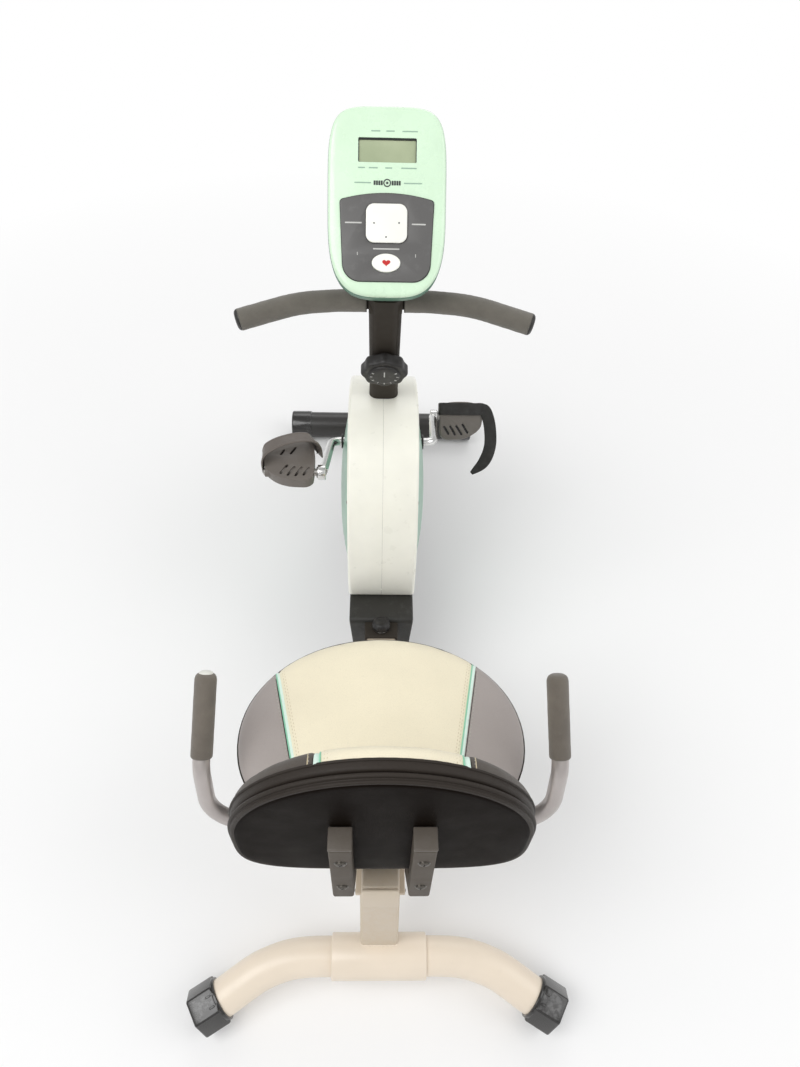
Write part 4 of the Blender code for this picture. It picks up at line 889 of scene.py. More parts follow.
def rear_cap(side, sign):
    """Hexagonal foot with a round collar, two small lugs and a hub in its dished end."""
    outward = on_side(rear_end_dir, sign)
    tip = on_side(REAR_END, sign)
    up = (Vector((0, 0, 1)) - outward * outward.z).normalized()
    local = axes(tip, up.cross(outward), up, outward)
    roll = radians(5 * sign)
    corner_r = 0.0342 / cos(pi / 6)
    hexagon = [(corner_r * cos(roll + pi / 3 * k), corner_r * sin(roll + pi / 3 * k))
               for k in range(6)]
    cap = plate("rear_cap_" + side, [rounded(hexagon, 0.0050, 6)], 0.0455, local, at=-0.00675)
    soften(cap, 0.0034, 3, 60)
    collar = plate("collar", [circle(0.0352, 64)], 0.0060, local, at=-0.0290)
    soften(collar, 0.0015, 3, 60)
    lug_axes = local @ Matrix.Rotation(roll + pi / 3 * 1.5, 4, 'Z')
    lugs = [box("lug", (0.0024, 0.0034, 0.0090), (0.0345, 0.0085 * k, -0.0200), lug_axes,
                bevel=0.0009, segments=3) for k in (-1, 1)]
    weld(cap, collar, *lugs)
    cut(cap,
        rod("bore", REAR_TUBE_R + GAP, tip - outward * 0.080, tip + outward * GAP),
        rod("dish", 0.0235, tip + outward * 0.0142, tip + outward * 0.04, end_radius=0.0285),
        box("floor", (0.4, 0.4, 0.1), (tip.x, tip.y, -0.05)))
    settle(cap, "gloss_black_plastic", "rear_foot_" + side)
    hub_profile = [(0.0, 0.0158), (0.0070, 0.0155), (0.0086, 0.0146), (0.0092, 0.0120),
                   (0.0, 0.0120)]
    settle(turned("rear_cap_hub_" + side, hub_profile, tip, outward, 32), "gloss_black_plastic")


for side, sign in SIDES:
    rear_cap(side, sign)

# ------------------------------------------------------------------ rear leg
SADDLE_R = 0.0365               # sheet saddle over the stabiliser tube
LEG_FOOT = 0.034                # how far the leg reaches below its origin
FLANGE_T = 0.006
leg_origin = Vector((0, -0.618, 0.10)) + RAIL_DIR * (LEG_D / 2)
leg_top = -(leg_origin - RAIL_START).dot(RAIL_UP) - RAIL_H / 2 - GAP
LEG_AXES = axes(leg_origin, X, RAIL_DIR, RAIL_UP)
leg_outline = rect(LEG_W, LEG_D, 0.0060)
leg = plate("rear_leg_post", [leg_outline], leg_top - FLANGE_T / 2 + LEG_FOOT, LEG_AXES,
            at=(leg_top - FLANGE_T / 2 - LEG_FOOT) / 2)
cut(leg, rod_x("scoop", 0.0364, REAR_YZ, -0.12, 0.12, 96))
# painted shade: the leg takes the darkened copy of the cream paint
settle(leg, "tan_paint", "rear_leg", angle=50)
settle(box("rear_leg_flange", (0.074, 0.072, FLANGE_T), (0, 0, leg_top - FLANGE_T / 2), LEG_AXES,
           bevel=0.0018), "tan_paint")


def saddle_arc(x, radius, first, last):
    """Arc round the stabiliser axis, angles in degrees from +Y."""
    angles = (radians(first + (last - first) * k / 48) for k in range(49))
    return [Vector((x, REAR_YZ[0] + radius * cos(a), REAR_YZ[1] + radius * sin(a)))
            for a in angles]


# (x, inset of the outer surface): rounded rims at both ends of the saddle
SADDLE_STATIONS = ((-0.078, 0.0012), (-0.0774, 0.0004), (-0.0762, 0.0),
                   (0.0762, 0.0), (0.0774, 0.0004), (0.078, 0.0012))
settle(skin("rear_saddle", [saddle_arc(x, SADDLE_R - inset, -26, 206)
                            + saddle_arc(x, 0.0312, 206, -26) for x, inset in SADDLE_STATIONS]),
       "cream_paint")
weld_line = []
for x, depth in leg_outline:
    point = leg_origin + X * x + RAIL_DIR * depth
    to_axis = Vector((0, *REAR_YZ)) - point
    rise = to_axis.dot(RAIL_UP)
    off_axis = (to_axis - X * to_axis.x - RAIL_UP * rise).length
    weld_line.append(point + RAIL_UP * (rise + sqrt(max(0.0, 0.0366 ** 2 - off_axis ** 2))))
bead("weld_leg_saddle", weld_line, 0.0016, "cream_paint", seed=1)
bead("weld_leg_flange", [LEG_AXES @ Vector((x * 1.01, depth * 1.01, leg_top - 0.0062))
                         for x, depth in leg_outline], 0.0016, "tan_paint", seed=2)
screws("rear_leg_bolts",
       [(LEG_AXES @ Vector((0.0330 * across, 0.028 * forward, leg_top - FLANGE_T)), -RAIL_UP,
         0.4 * k) for k, (across, forward) in enumerate(CORNERS)],
       0.0042, 0.0032, 'hex', "zinc_steel")

# ------------------------------------------------------------------ rail and main frame
from_cad("seat_rail", "seat_rail_tube", "rail_paint", bevel=0.0)
settle(box("rail_end_plug", (RAIL_W - 0.0010, 0.0050, RAIL_H - 0.0010), (0, -0.0545, 0),
           RAIL_AXES, bevel=0.0022), "tan_paint")

sleeve_rear, sleeve_front = rail_distance(-0.112), rail_distance(0.085)
bore_front, bore_rear = rail_distance(0.045) + 0.001, sleeve_rear - 0.05
SLEEVE_W, SLEEVE_H = RAIL_W + 2 * (0.004 + GAP), RAIL_H + 2 * (0.0045 + GAP)
CLAMP_AT = rail_point(-0.090)
FLYWHEEL_YZ = (0.392, 0.262)
tube_start = rail_point(0.060)
tube_end = Vector((0, 0.722, 0.0925))
tube_dir = (tube_end - tube_start).normalized()
TUBE_AXES = axes(tube_start, X, tube_dir, Vector((0, -tube_dir.z, tube_dir.y)))
tube_length = (tube_end - tube_start).length
FLY_PLATE = rounded([(0.360, 0.120), (0.440, 0.112), (0.468, 0.300), (0.466, 0.352),
                     (0.438, 0.352), (0.376, 0.290), (0.372, 0.240)],
                    [0, 0, 0.03, 0.012, 0.012, 0.014, 0.02])
MAST = [(0.243, 0.150), (0.300, 0.145), (0.300, 0.425), (0.243, 0.425)]

weldment = box("main_frame_weldment", (SLEEVE_W, sleeve_front - sleeve_rear, SLEEVE_H),
               (0, (sleeve_rear + sleeve_front) / 2, 0), RAIL_AXES, bevel=0.0036, segments=5)
cut(weldment, box("sleeve_bore", (RAIL_W + 2 * GAP, bore_front - bore_rear, RAIL_H + 2 * GAP),
                  (0, (bore_front + bore_rear) / 2, 0), RAIL_AXES))
front_saddle = rod_x("front_saddle", FRONT_TUBE_R + 0.006, FRONT_YZ, -0.062, 0.062, 72, 0.001)
cut(front_saddle, box("saddle_trim", (0.2, 0.12, 0.1), (0, FRONT_YZ[0], FRONT_YZ[1] - 0.054)))
weld(weldment,
     box("main_tube", (0.050, tube_length, 0.050), (0, tube_length / 2, 0), TUBE_AXES,
         bevel=0.0065, segments=5),
     front_saddle,
     plate("mast", [MAST], 0.030, SIDE_AXES),
     box("upright_stub", (UPRIGHT_W - 0.0066, UPRIGHT_D - 0.0066, 0.105), (0, 0, -0.383),
         UPRIGHT_AXES),
     rod_x("crank_shell", 0.0240, CRANK_YZ, -0.038, 0.038),
     plate("fly_plate", [FLY_PLATE], 0.006, SIDE_AXES, at=-0.0275),
     box("fly_foot", (0.012, 0.060, 0.020), (-0.0245, 0.400, 0.150)),
     rod_x("magnet_pivot", 0.0040, (0.447, 0.330), -0.028, -0.0160, 16))
cut(weldment,
    rod_x("front_saddle_bore", FRONT_TUBE_R + 2 * GAP, FRONT_YZ, -0.12, 0.12, 72),
    rod_x("crank_shell_bore", 0.0187, CRANK_YZ, -0.05, 0.05),
    rod_x("fly_axle_hole", 0.0063, FLYWHEEL_YZ, -0.040, -0.020, 32),
    rod("rail_knob_hole", 0.0052, CLAMP_AT + RAIL_UP * 0.0200, CLAMP_AT + RAIL_UP * 0.05, 24))
settle(weldment, "graphite_paint", "main_frame", angle=34)
bead("weld_sleeve_tube", [TUBE_AXES @ Vector((x, 0.048 + 0.004 * (z / 0.025), z))
                          for x, z in rect(0.0505, 0.0505, 0.0065, steps=6)],
     0.0020, "graphite_paint", seed=3)

# ------------------------------------------------------------------ front stabiliser, wheels
CAP_INNER_X, TUBE_END_X = 0.1880, 0.2050
settle(round_bar("front_stabilizer_tube",
                 dense([(-TUBE_END_X, *FRONT_YZ), (TUBE_END_X, *FRONT_YZ)], 0.05),
                 FRONT_TUBE_R, 56, 0.001), "black_paint", "front_stabilizer")


def front_cap(side, sign):
    """Round foot with three ridges, flat underneath, slotted for the transport wheel."""
    cap = rod_x("front_cap_" + side, 0.0367, FRONT_YZ, sign * CAP_INNER_X, sign * FRONT_HALF,
                72, 0.0040)
    weld(cap, *[rod_x("ridge", 0.0371, FRONT_YZ, sign * (0.1905 + 0.0040 * k),
                      sign * (0.1920 + 0.0040 * k), 72) for k in range(3)])
    wheel_x, slot_half, axle_half = sign * WHEEL_X, (WHEEL_W + 0.0016) / 2, 0.012
    cut(cap,
        rod_x("bore", FRONT_TUBE_R + 0.0004, FRONT_YZ, sign * 0.15, sign * (TUBE_END_X + GAP), 72),
        box("floor", (0.2, 0.2, 0.1), (sign * 0.21, FRONT_YZ[0], -0.05)),
        rod_x("wheel_slot", WHEEL_R + 0.0012, WHEEL_YZ, wheel_x - slot_half, wheel_x + slot_half))
    weld(cap, rod_x("axle", 0.0030, WHEEL_YZ, wheel_x - axle_half, wheel_x + axle_half, 24))
    settle(cap, "gloss_black_plastic", "front_foot_" + side)


def transport_wheel(side, sign):
    """Wheel with recessed faces and a shallow groove round the tread."""
    half = WHEEL_W / 2
    outer_half = [(0.0034, half), (0.0062, half), (0.0068, half - 0.0012),
                  (0.0150, half - 0.0012), (0.0158, half), (WHEEL_R - 0.0030, half),
                  (WHEEL_R - 0.0009, half - 0.0009), (WHEEL_R, half - 0.003), (WHEEL_R, 0.0012)]
    inner_half = [(radius, -height) for radius, height in reversed(outer_half)]
    profile = outer_half + [(WHEEL_R - 0.0006, 0.0)] + inner_half
    wheel = turned("transport_wheel_" + side, profile, (sign * WHEEL_X, *WHEEL_YZ), (1, 0, 0),
                   56, closed=True)
    settle(wheel, "wheel_rubber", "transport_wheel_" + side, body="wheel_" + side)


for side, sign in SIDES:
    front_cap(side, sign)
    transport_wheel(side, sign)

# ------------------------------------------------------------------ clamp knobs on the rail
sleeve_top = SLEEVE_H / 2
# (radius, height above the sleeve)
CLAMP_KNOB = [(0.0, 0.0196), (0.0060, 0.0195), (0.0074, 0.0203), (0.0120, 0.0200),
              (0.0148, 0.0180), (0.0166, 0.0150), (0.0174, 0.0110), (0.0175, 0.0080),
              (0.0172, 0.0055), (0.0150, 0.0036), (0.0100, 0.0030), (0.0100, 0.0006),
              (0.0048, 0.0006)]
CLAMP_WASHER = [(0.0052, 0.0022), (0.0130, 0.0022), (0.0136, 0.0016), (0.0136, 0.0001),
                (0.0052, 0.0001)]
# (radius, distance from the middle of the rail towards +X)
LOCK_KNOB = [(0.0, 0.0634), (0.0070, 0.0632), (0.0085, 0.0640), (0.0130, 0.0635),
             (0.0160, 0.0616), (0.0172, 0.0585), (0.0179, 0.0540), (0.0178, 0.0490),
             (0.0160, 0.0420), (0.0120, 0.0396), (0.0090, 0.0388), (0.0082, 0.0330),
             (0.0045, 0.0330), (0.0045, RAIL_W / 2 + GAP), (0.0, RAIL_W / 2 + GAP)]
stem_foot = [(0.0048, RAIL_H / 2 + GAP), (0.0, RAIL_H / 2 + GAP)]
settle(turned("rail_clamp_knob",
              [(radius, sleeve_top + height) for radius, height in CLAMP_KNOB] + stem_foot,
              CLAMP_AT, RAIL_UP, 96, flutes=(12, 0.0011, sleeve_top + 0.005, sleeve_top + 0.0175)),
       "knob_plastic", "rail_knob", body="rail_clamp")
settle(turned("rail_clamp_washer",
              [(radius, sleeve_top + height) for radius, height in CLAMP_WASHER],
              CLAMP_AT, RAIL_UP, 40, closed=True), "zinc_steel")
settle(turned("seat_lock_knob_grip", LOCK_KNOB, rail_point(-0.330), (1, 0, 0), 96,
              flutes=(10, 0.0016, 0.0425, 0.0600)),
       "knob_plastic", "seat_lock_knob", body="seat_clamp")

# ------------------------------------------------------------------ crank
crank_axis = Vector((0, *CRANK_YZ))
left_arm = Vector((0, -cos(CRANK_REST), sin(CRANK_REST)))
EYES = {"left": crank_axis + left_arm * CRANK_ARM, "right": crank_axis - left_arm * CRANK_ARM}
crank_line = smooth_path([(-EYE_X, *EYES["left"].yz), (-0.1035, *CRANK_YZ),
                          (0.1035, *CRANK_YZ), (EYE_X, *EYES["right"].yz)], 0.020, 14)
crank = round_bar("crank_bar", dense(crank_line, 0.02), CRANK_ROD_R)
boss_profile = fillet_profile([(0.0, 0.0075), (0.0142, 0.0075), (0.0142, -0.0075),
                               (0.0, -0.0075)], 0.0016, 4)
for side, sign in SIDES:
    eye_yz = EYES[side].yz
    weld(crank, turned("boss", boss_profile, (sign * 0.113, *eye_yz), (1, 0, 0), 48))
    cut(crank, rod_x("eye_hole", SPINDLE_R + GAP, eye_yz, sign * 0.1000, sign * 0.1300, 36))
settle(crank, "crank_chrome", "crank", body="crank_set", angle=40)
collar_profile = fillet_profile([(CRANK_ROD_R + 0.0001, 0.0040), (0.0128, 0.0040),
                                 (0.0128, -0.0040), (CRANK_ROD_R + 0.0001, -0.0040)], 0.0008, 3)
for side, sign in SIDES:
    settle(turned("crank_collar_" + side, collar_profile, (sign * 0.0690, *CRANK_YZ), (1, 0, 0),
                  48, closed=True), "zinc_steel", body="crank_set")

# ------------------------------------------------------------------ pedals
# side: (tilt about the spindle, shift of the deck along its length, length share of the toe)
PEDAL_POSE = {"left": (radians(8.0), 0.0140, 1.0), "right": (radians(42.0), -0.0120, 0.80)}
# left deck seen from above, (x, y), heel first along the outer side
PEDAL_OUTLINE = [(-0.0462, 0.002), (-0.0430, -0.0120), (-0.0330, -0.0235), (-0.0180, -0.0330),
                 (0.0000, -0.0385), (0.0180, -0.0400), (0.0330, -0.0395), (0.0425, -0.0340),
                 (0.0462, -0.0230), (0.0462, 0.0200), (0.0430, 0.0390), (0.0330, 0.0500),
                 (0.0100, 0.0536), (-0.0180, 0.0528), (-0.0360, 0.0460), (-0.0445, 0.0300),
                 (-0.0462, 0.0150)]
# round-ended slots in the deck: (start x, start y, end x, end y, width)
PEDAL_SLOTS = [(-0.0136, -0.0245, -0.0030, -0.0072, 0.0050),
               (-0.0006, -0.0282, 0.0106, -0.0108, 0.0050),
               (0.0138, -0.0290, 0.0240, -0.0116, 0.0050),
               (0.0282, -0.0275, 0.0374, -0.0128, 0.0050),
               (-0.0160, 0.0180, -0.0110, 0.0270, 0.0044),
               (0.0020, 0.0200, 0.0100, 0.0330, 0.0046)]
# (radius, distance outward from the middle of the pedal)
SPINDLE = [(0.0, 0.0470), (0.0050, 0.0470), (0.0056, 0.0464), (SPINDLE_R, 0.0448),
           (SPINDLE_R, -0.0508), (0.0098, -0.0510), (0.0105, -0.0513), (0.0105, -0.0521),
           (0.0098, -0.0524), (SPINDLE_R, -0.0525), (SPINDLE_R, -0.0640), (0.0060, -0.0662),
           (0.0050, -0.0665), (0.0, -0.0665)]


def pedal_centre(side, sign):
    return Vector((sign * PEDAL_X, *EYES[side].yz))


def pedal_axes(side, sign):
    pose_tilt, shift, toe = PEDAL_POSE[side]
    return (Matrix.Translation(pedal_centre(side, sign)) @ Matrix.Rotation(pose_tilt, 4, 'X')
            @ Matrix.Translation((0, shift, 0)))


def pedal_outline(side, sign, inset):
    """Deck outline drawn in by `inset`, mirrored for the right pedal."""
    toe = PEDAL_POSE[side][2]
    ring = flowing([Vector((x, y * (toe if y > 0 else 1.0), 0))
                    for x, y in PEDAL_OUTLINE + PEDAL_OUTLINE[:1]], 6)[:-1]
    out = []
    for i, point in enumerate(ring):
        tangent = (ring[(i + 1) % len(ring)] - ring[i - 1]).normalized()
        moved = point + Vector((-tangent.y, tangent.x, 0)) * inset
        out.append((-sign * moved.x, moved.y))
    return out


def pedal_slot(sign, x0, y0, x1, y1, width, steps=5):
    way = Vector((x1 - x0, y1 - y0)).normalized()
    heading = atan2(way.y, way.x)
    out = []
    for x, y, turn in ((x1, y1, -pi / 2), (x0, y0, pi / 2)):
        for k in range(steps + 1):
            angle = heading + turn + pi * k / steps
            out.append((-sign * (x + width / 2 * cos(angle)), y + width / 2 * sin(angle)))
    return out


def pedal(side, sign):
    """Slotted deck on a barrel, a deep rim, a dark floor sheet that is painted shade seen through
    the slots, four ribs and the spindle.
    """
    centre = pedal_centre(side, sign)
    local = pedal_axes(side, sign)
    body = side + "_pedal"

    def drill(obj, radius, segments=32):
        cut(obj, rod("bore", radius, centre - X * 0.06, centre + X * 0.06, segments))
    slots = [pedal_slot(sign, *row) for row in PEDAL_SLOTS]
    deck = plate("pedal_deck_" + side, [pedal_outline(side, sign, 0.0004)] + slots, 0.0060,
                 local, at=0.0085)
    soften(deck, 0.0011, 3, 50)
    drill(deck, SPINDLE_R + GAP)
    barrel = rod("pedal_barrel_" + side, 0.0095, centre - X * 0.0440, centre + X * 0.0440, 40,
                 bevel=0.0008)
    drill(barrel, 0.0073)
    settle(barrel, "pedal_plastic", body=body)
    settle(deck, "pedal_plastic", "pedal_" + side, body=body, angle=45)
    rim = plate("pedal_rim_" + side,
                [pedal_outline(side, sign, 0.0), pedal_outline(side, sign, 0.0036)],
                PEDAL_T, local)
    soften(rim, 0.0013, 3, 50)
    drill(rim, 0.0078)
    settle(rim, "pedal_plastic", body=body, angle=45)
    # dark sheet under the slots: painted shade seen through them
    settle(plate("pedal_shade_sheet_" + side, [pedal_outline(side, sign, 0.0030)], 0.0012, local,
                 at=0.0032), "gloss_black_plastic", body=body)
    ribs = []
    for k in range(4):
        rib = box("rib", (0.0022, 0.0660 - 0.012 * abs(k - 1.5), 0.0140),
                  (-sign * (-0.0300 + 0.0200 * k), 0.0030, -0.0040), local,
                  bevel=0.0006, segments=2)
        drill(rib, 0.0076, 24)
        ribs.append(rib)
    settle(join("pedal_ribs_" + side, ribs), "pedal_plastic", body=body)
    settle(turned("pedal_spindle_" + side, SPINDLE, centre, (sign, 0, 0), 40),
           "zinc_steel", "pedal_spindle_" + side, body="crank_set")


def left_strap():
    """Moulded band arched over the deck, thicker along both edges, with studs at its ends."""
    local = pedal_axes("left", -1)
    top, half = PEDAL_T / 2, PEDAL_W / 2
    centre_y, skew = 0.0265, 0.34
    rise = [(half + 0.0016, -0.006), (half + 0.0019, 0.006), (half + 0.0014, top + 0.008),
            (half - 0.0030, top + 0.022), (half - 0.0110, top + 0.030), (0.0190, top + 0.0370)]
    arch = [(-x, z) for x, z in rise] + [(0.0, top + 0.0390)] + rise[::-1]
    path = dense(flowing([local @ Vector((x, centre_y - 0.004 + skew * x, z))
                          for x, z in arch], 7), 0.0024)
    edge, face = 0.0380 / 2, 0.0024 / 2
    section = rounded(
        [(-edge, -face), (edge, -face), (edge, face), (edge - 0.0042, face + 0.0007),
         (edge - 0.0064, face - 0.0002), (-edge + 0.0064, face - 0.0002),
         (-edge + 0.0042, face + 0.0007), (-edge, face)],
        [0.0008, 0.0008, 0.0008, 0.0006, 0.001, 0.001, 0.0006, 0.0008], 3)

    def waisted(i, share):
        return [(u * (1 - 0.16 * sin(pi * share)), v) for u, v in section]
    turn = local.to_3x3()
    settle(sweep("pedal_strap_left_band", path, waisted, up=turn @ Vector((-1, 0, 0))),
           "strap_rubber", "pedal_strap_left", body="left_pedal", angle=50)
    profile = [(0.0, 0.0012), (0.0022, 0.0011), (0.0031, 0.0004), (0.0033, -0.0006),
               (0.0, -0.0006)]
    studs = []
    for sign in (-1, 1):
        for k in range(2):
            y = centre_y - 0.010 + skew * sign * half + 0.012 * k
            studs.append(turned("stud", profile,
                                local @ Vector((sign * (half + 0.0030), y, -0.0005)),
                                turn @ Vector((sign, 0, 0)), 20))
    settle(join("strap_studs_left", studs), "gloss_black_plastic", body="left_pedal")


def right_strap():
    """The undone strap: flat over the deck, then hanging from the outer side of the pedal."""
    local = pedal_axes("right", 1)
    # the band flat over the deck is dark with painted shade and stands for the deck's shaded top
    over_deck = [(-0.0487, -0.0050), (-0.0488, 0.0060), (-0.0440, 0.0136), (-0.0300, 0.0142),
                 (0.0, 0.0144), (0.0300, 0.0142), (0.0450, 0.0130)]     # local (x, z)
    hanging = [(0.2278, 0.4000, 0.3540), (0.2370, 0.3797, 0.3300), (0.2385, 0.3527, 0.2970),
               (0.2260, 0.3332, 0.2670), (0.2000, 0.3199, 0.2450)]      # world (x, y, z)
    line = [local @ Vector((x, 0.0270, z)) for x, z in over_deck] + [Vector(p) for p in hanging]
    taper_from, ridges_from = 0.80, 0.60

    def section(i, share):
        width = 0.0265
        if share >= taper_from:
            width *= max(0.30, 1 - ((share - taper_from) / 0.20) ** 2 * 0.70)
        thick = 0.0025 + (0.0006 if i % 3 == 0 and share > ridges_from else 0.0)
        u, v = width / 2, thick / 2
        return rounded([(-u, -v), (u, -v), (u, v), (-u, v)], 0.0008, 3)
    settle(sweep("pedal_strap_right_hanging", dense(flowing(line, 9), 0.0020), section,
                 up=local.to_3x3() @ Vector((-1, 0, 0))),
           "strap_tail_rubber", "pedal_strap_right", body="right_pedal", angle=50)


pedal("left", -1)
left_strap()
pedal("right", 1)
right_strap()

# ------------------------------------------------------------------ enclosure
CROWN_DIR = (0.775, 0.632)      # the outline is pressed in along this (y, z) direction


def shroud_outline(inset, low, count=150):
    """Split ellipse cut off at z = low, its crown flatter over the flywheel."""
    low_angle = asin((low - SHROUD_YZ[1]) / (SHROUD_UP - inset))
    points = []
    for k in range(count + 1):
        angle = low_angle + (pi - 2 * low_angle) * k / count
        reach = (SHROUD_FRONT if cos(angle) >= 0 else SHROUD_REAR) - inset
        y, z = reach * cos(angle), (SHROUD_UP - inset) * sin(angle)
        ease = clamp01(z / 0.150)
        press = 0.230 * max(0.0, y * CROWN_DIR[0] + z * CROWN_DIR[1] - 0.05)
        press *= ease * ease * (3 - 2 * ease)
        points.append((SHROUD_YZ[0] + y - CROWN_DIR[0] * press,
                       SHROUD_YZ[1] + z - CROWN_DIR[1] * press))
    return points


def shroud_half(side, sign):
    """One half of the hollow shell; a hair-wide seam lies at x = 0."""
    half = plate("shroud_half_" + side, [shroud_outline(0.0, SHROUD_BOTTOM)], 2 * SHROUD_X,
                 SIDE_AXES)
    soften(half, 0.0270, 10, 60)
    core = plate("core", [shroud_outline(WALL, SHROUD_BOTTOM - 0.03, 90)],
                 2 * (SHROUD_X - WALL), SIDE_AXES)
    soften(core, 0.0245, 5, 60)
    seam_half = 0.00013
    cut(half, core, box("other_half", (0.2, 0.7, 0.7), (sign * (seam_half - 0.1), 0.24, 0.35)),
        upright_hole, rod_x("crank_hole", 0.0135, CRANK_YZ, sign * 0.045, sign * 0.075))
    settle(half, "ivory_plastic", "shroud_" + side, angle=40)


def dome(radius):
    return (COVER_X - SHROUD_X - GAP) * (1 - min(1.0, radius / COVER_R) ** 2.6)


def side_cover(side, sign):
    """Domed disc with a stepped rim, two ring grooves and three curved vents."""
    profile = [(0.0, dome(0.0))]
    for k in range(1, 29):
        radius = 0.0005 + (COVER_R - 0.0105) * k / 28
        grooves = (0.0013 * exp(-((radius - 0.112) / 0.0022) ** 2)
                   + 0.0010 * exp(-((radius - 0.062) / 0.0020) ** 2))
        profile.append((radius, dome(radius) - grooves))
    profile += [(COVER_R - 0.0090, dome(COVER_R - 0.0105) - 0.0006), (COVER_R - 0.0078, 0.0036),
                (COVER_R - 0.0035, 0.0034), (COVER_R - 0.0012, 0.0028), (COVER_R, 0.0016),
                (COVER_R, 0.0), (COVER_R - 0.0035, 0.0), (COVER_R - 0.0050, 0.0006)]
    thickness = 0.0028
    profile += [(COVER_R * share * 0.972, dome(COVER_R * share) - thickness)
                for share in (0.90, 0.82, 0.65, 0.4, 0.2)] + [(0.0, dome(0.0) - thickness)]
    # the first groove sample stands on the axis, so it carries no radius
    cover = turned("side_cover_dome_" + side, profile, (sign * (SHROUD_X + GAP), *COVER_YZ),
                   (sign, 0, 0), 128)
    cutters = [rod_x("crank_hole", 0.0150, CRANK_YZ, sign * 0.05, sign * 0.10)]

    def arc(radius):
        return [(COVER_YZ[0] + radius * cos(radians(degrees)),
                 COVER_YZ[1] + radius * sin(radians(degrees))) for degrees in range(196, 249, 4)]
    for k in range(3):
        radius = 0.086 + 0.0095 * k
        cutters.append(plate("vent", [arc(radius) + arc(radius + 0.0036)[::-1]], 0.06,
                             SIDE_AXES, at=sign * 0.095))
    cut(cover, *cutters)
    settle(cover, "teal_plastic", "side_cover_" + side, angle=40)


upright_hole = plate("upright_hole", [rect(UPRIGHT_W + 0.0016, UPRIGHT_D + 0.0016, 0.0165)],
                     0.30, UPRIGHT_AXES, at=-0.26)
grommet_profile = fillet_profile([(0.0112, 0.0015), (0.0146, 0.0015), (0.0146, -0.0025),
                                  (0.0112, -0.0025)], 0.0006, 3)
SHROUD_SCREWS_YZ = ((0.030, 0.262), (0.447, 0.262), (0.360, 0.420), (0.058, 0.440))
for side, sign in SIDES:
    shroud_half(side, sign)
    side_cover(side, sign)
    settle(turned("crank_grommet_" + side, grommet_profile,
                  (sign * (COVER_X - 0.0030), *CRANK_YZ), (1, 0, 0), 48, closed=True),
           "black_plastic")
    screws("shroud_screws_" + side,
           [((sign * (SHROUD_X + 0.0002), *place), (sign, 0, 0), 0.5 * k)
            for k, place in enumerate(SHROUD_SCREWS_YZ)], 0.0036, 0.0020)

# small moulded nub low on the rear of the enclosure
nub_z = 0.262
nub_y = SHROUD_YZ[0] - SHROUD_REAR * cos(asin((nub_z - SHROUD_YZ[1]) / SHROUD_UP)) + 0.0001
settle(turned("shroud_gate_mark", [(0.0, 0.0010), (0.0013, 0.0010), (0.0021, 0.0006),
                                   (0.0026, -0.0004), (0.0, -0.0004)],
              (-0.001, nub_y, nub_z), (0, -1, -0.16), 20), "ivory_plastic")


def lower_cover():
    """Hollow tray below the shroud, narrowing downwards."""
    top = SHROUD_BOTTOM - GAP
    core_top = top - 0.0030
    taper_height = 0.13
    outline = rounded([(-0.068, top), (-0.068, 0.128), (-0.034, 0.100), (0.430, 0.094),
                       (0.494, 0.150), (0.494, top)], [0.010, 0.020, 0.04, 0.05, 0.05, 0.004], 14)
    shell = plate("lower_cover_shell", [outline], 0.125, SIDE_AXES)
    soften(shell, 0.019, 8, 60)
    inner = rounded([(-0.0645, core_top), (-0.0645, 0.130), (-0.0320, 0.1035), (0.428, 0.0975),
                     (0.4905, 0.152), (0.4905, core_top)],
                    [0.008, 0.018, 0.038, 0.048, 0.048, 0.003], 10)
    core = plate("core", [inner], 0.118, SIDE_AXES)
    soften(core, 0.017, 4, 60)
    cut(shell, core,
        box("mouth", (0.112, 0.475, 0.03), (0, 0.2425, top)),
        box("sleeve_hole", (SLEEVE_W + 0.001, 0.20, SLEEVE_H + 0.001),
            (0, rail_distance(-0.12), 0), RAIL_AXES, bevel=0.0032),
        box("tube_hole", (0.052, 0.20, 0.052), (0, tube_length - 0.21, 0), TUBE_AXES,
            bevel=0.006),
        box("seam", (0.0009, 0.62, 0.22), (0.0, 0.21, 0.005)))
    settle(shell, "charcoal_plastic", "lower_cover", angle=40)
    for vertex in shell.data.vertices:
        vertex.co.x *= 1 - 0.15 * clamp01((top - vertex.co.z) / taper_height)
    places = ((-0.030, 0.192), (0.200, 0.150), (0.440, 0.192))
    screws("lower_cover_screws",
           [((sign * (0.0622 - 0.0094 * (top - z) / taper_height), y, z), (sign, 0, -0.07),
             0.7 * k) for sign in (-1, 1) for k, (y, z) in enumerate(places)], 0.0036, 0.0020)


lower_cover()

# ------------------------------------------------------------------ upright
console_foot = CONSOLE_CENTRE - CONSOLE_OUT * (CONSOLE_DEPTH + GAP)
knob_level = UPRIGHT_TOP + UPRIGHT_DIR * (-(UPRIGHT_TOP.z - 0.690) / UPRIGHT_DIR.z)
rearward = -UPRIGHT_FORWARD
knob_face = knob_level + rearward * (UPRIGHT_D / 2)
NECK = rounded([(0.1310, 0.7900), (0.1850, 0.8080),
                (console_foot.y + 0.052, console_foot.z + 0.052),
                (console_foot.y - 0.030, console_foot.z - 0.030), (0.1190, 0.8480)],
               [0, 0.02, 0, 0, 0.004])
upright = plate("upright_post", [rect(UPRIGHT_W, UPRIGHT_D, 0.016, steps=12)], 0.413,
                UPRIGHT_AXES, at=-0.1635)
cut(upright, plate("bore", [rect(UPRIGHT_W - 0.006, UPRIGHT_D - 0.006, 0.0130, steps=12)], 0.36,
                   UPRIGHT_AXES, at=-0.22))
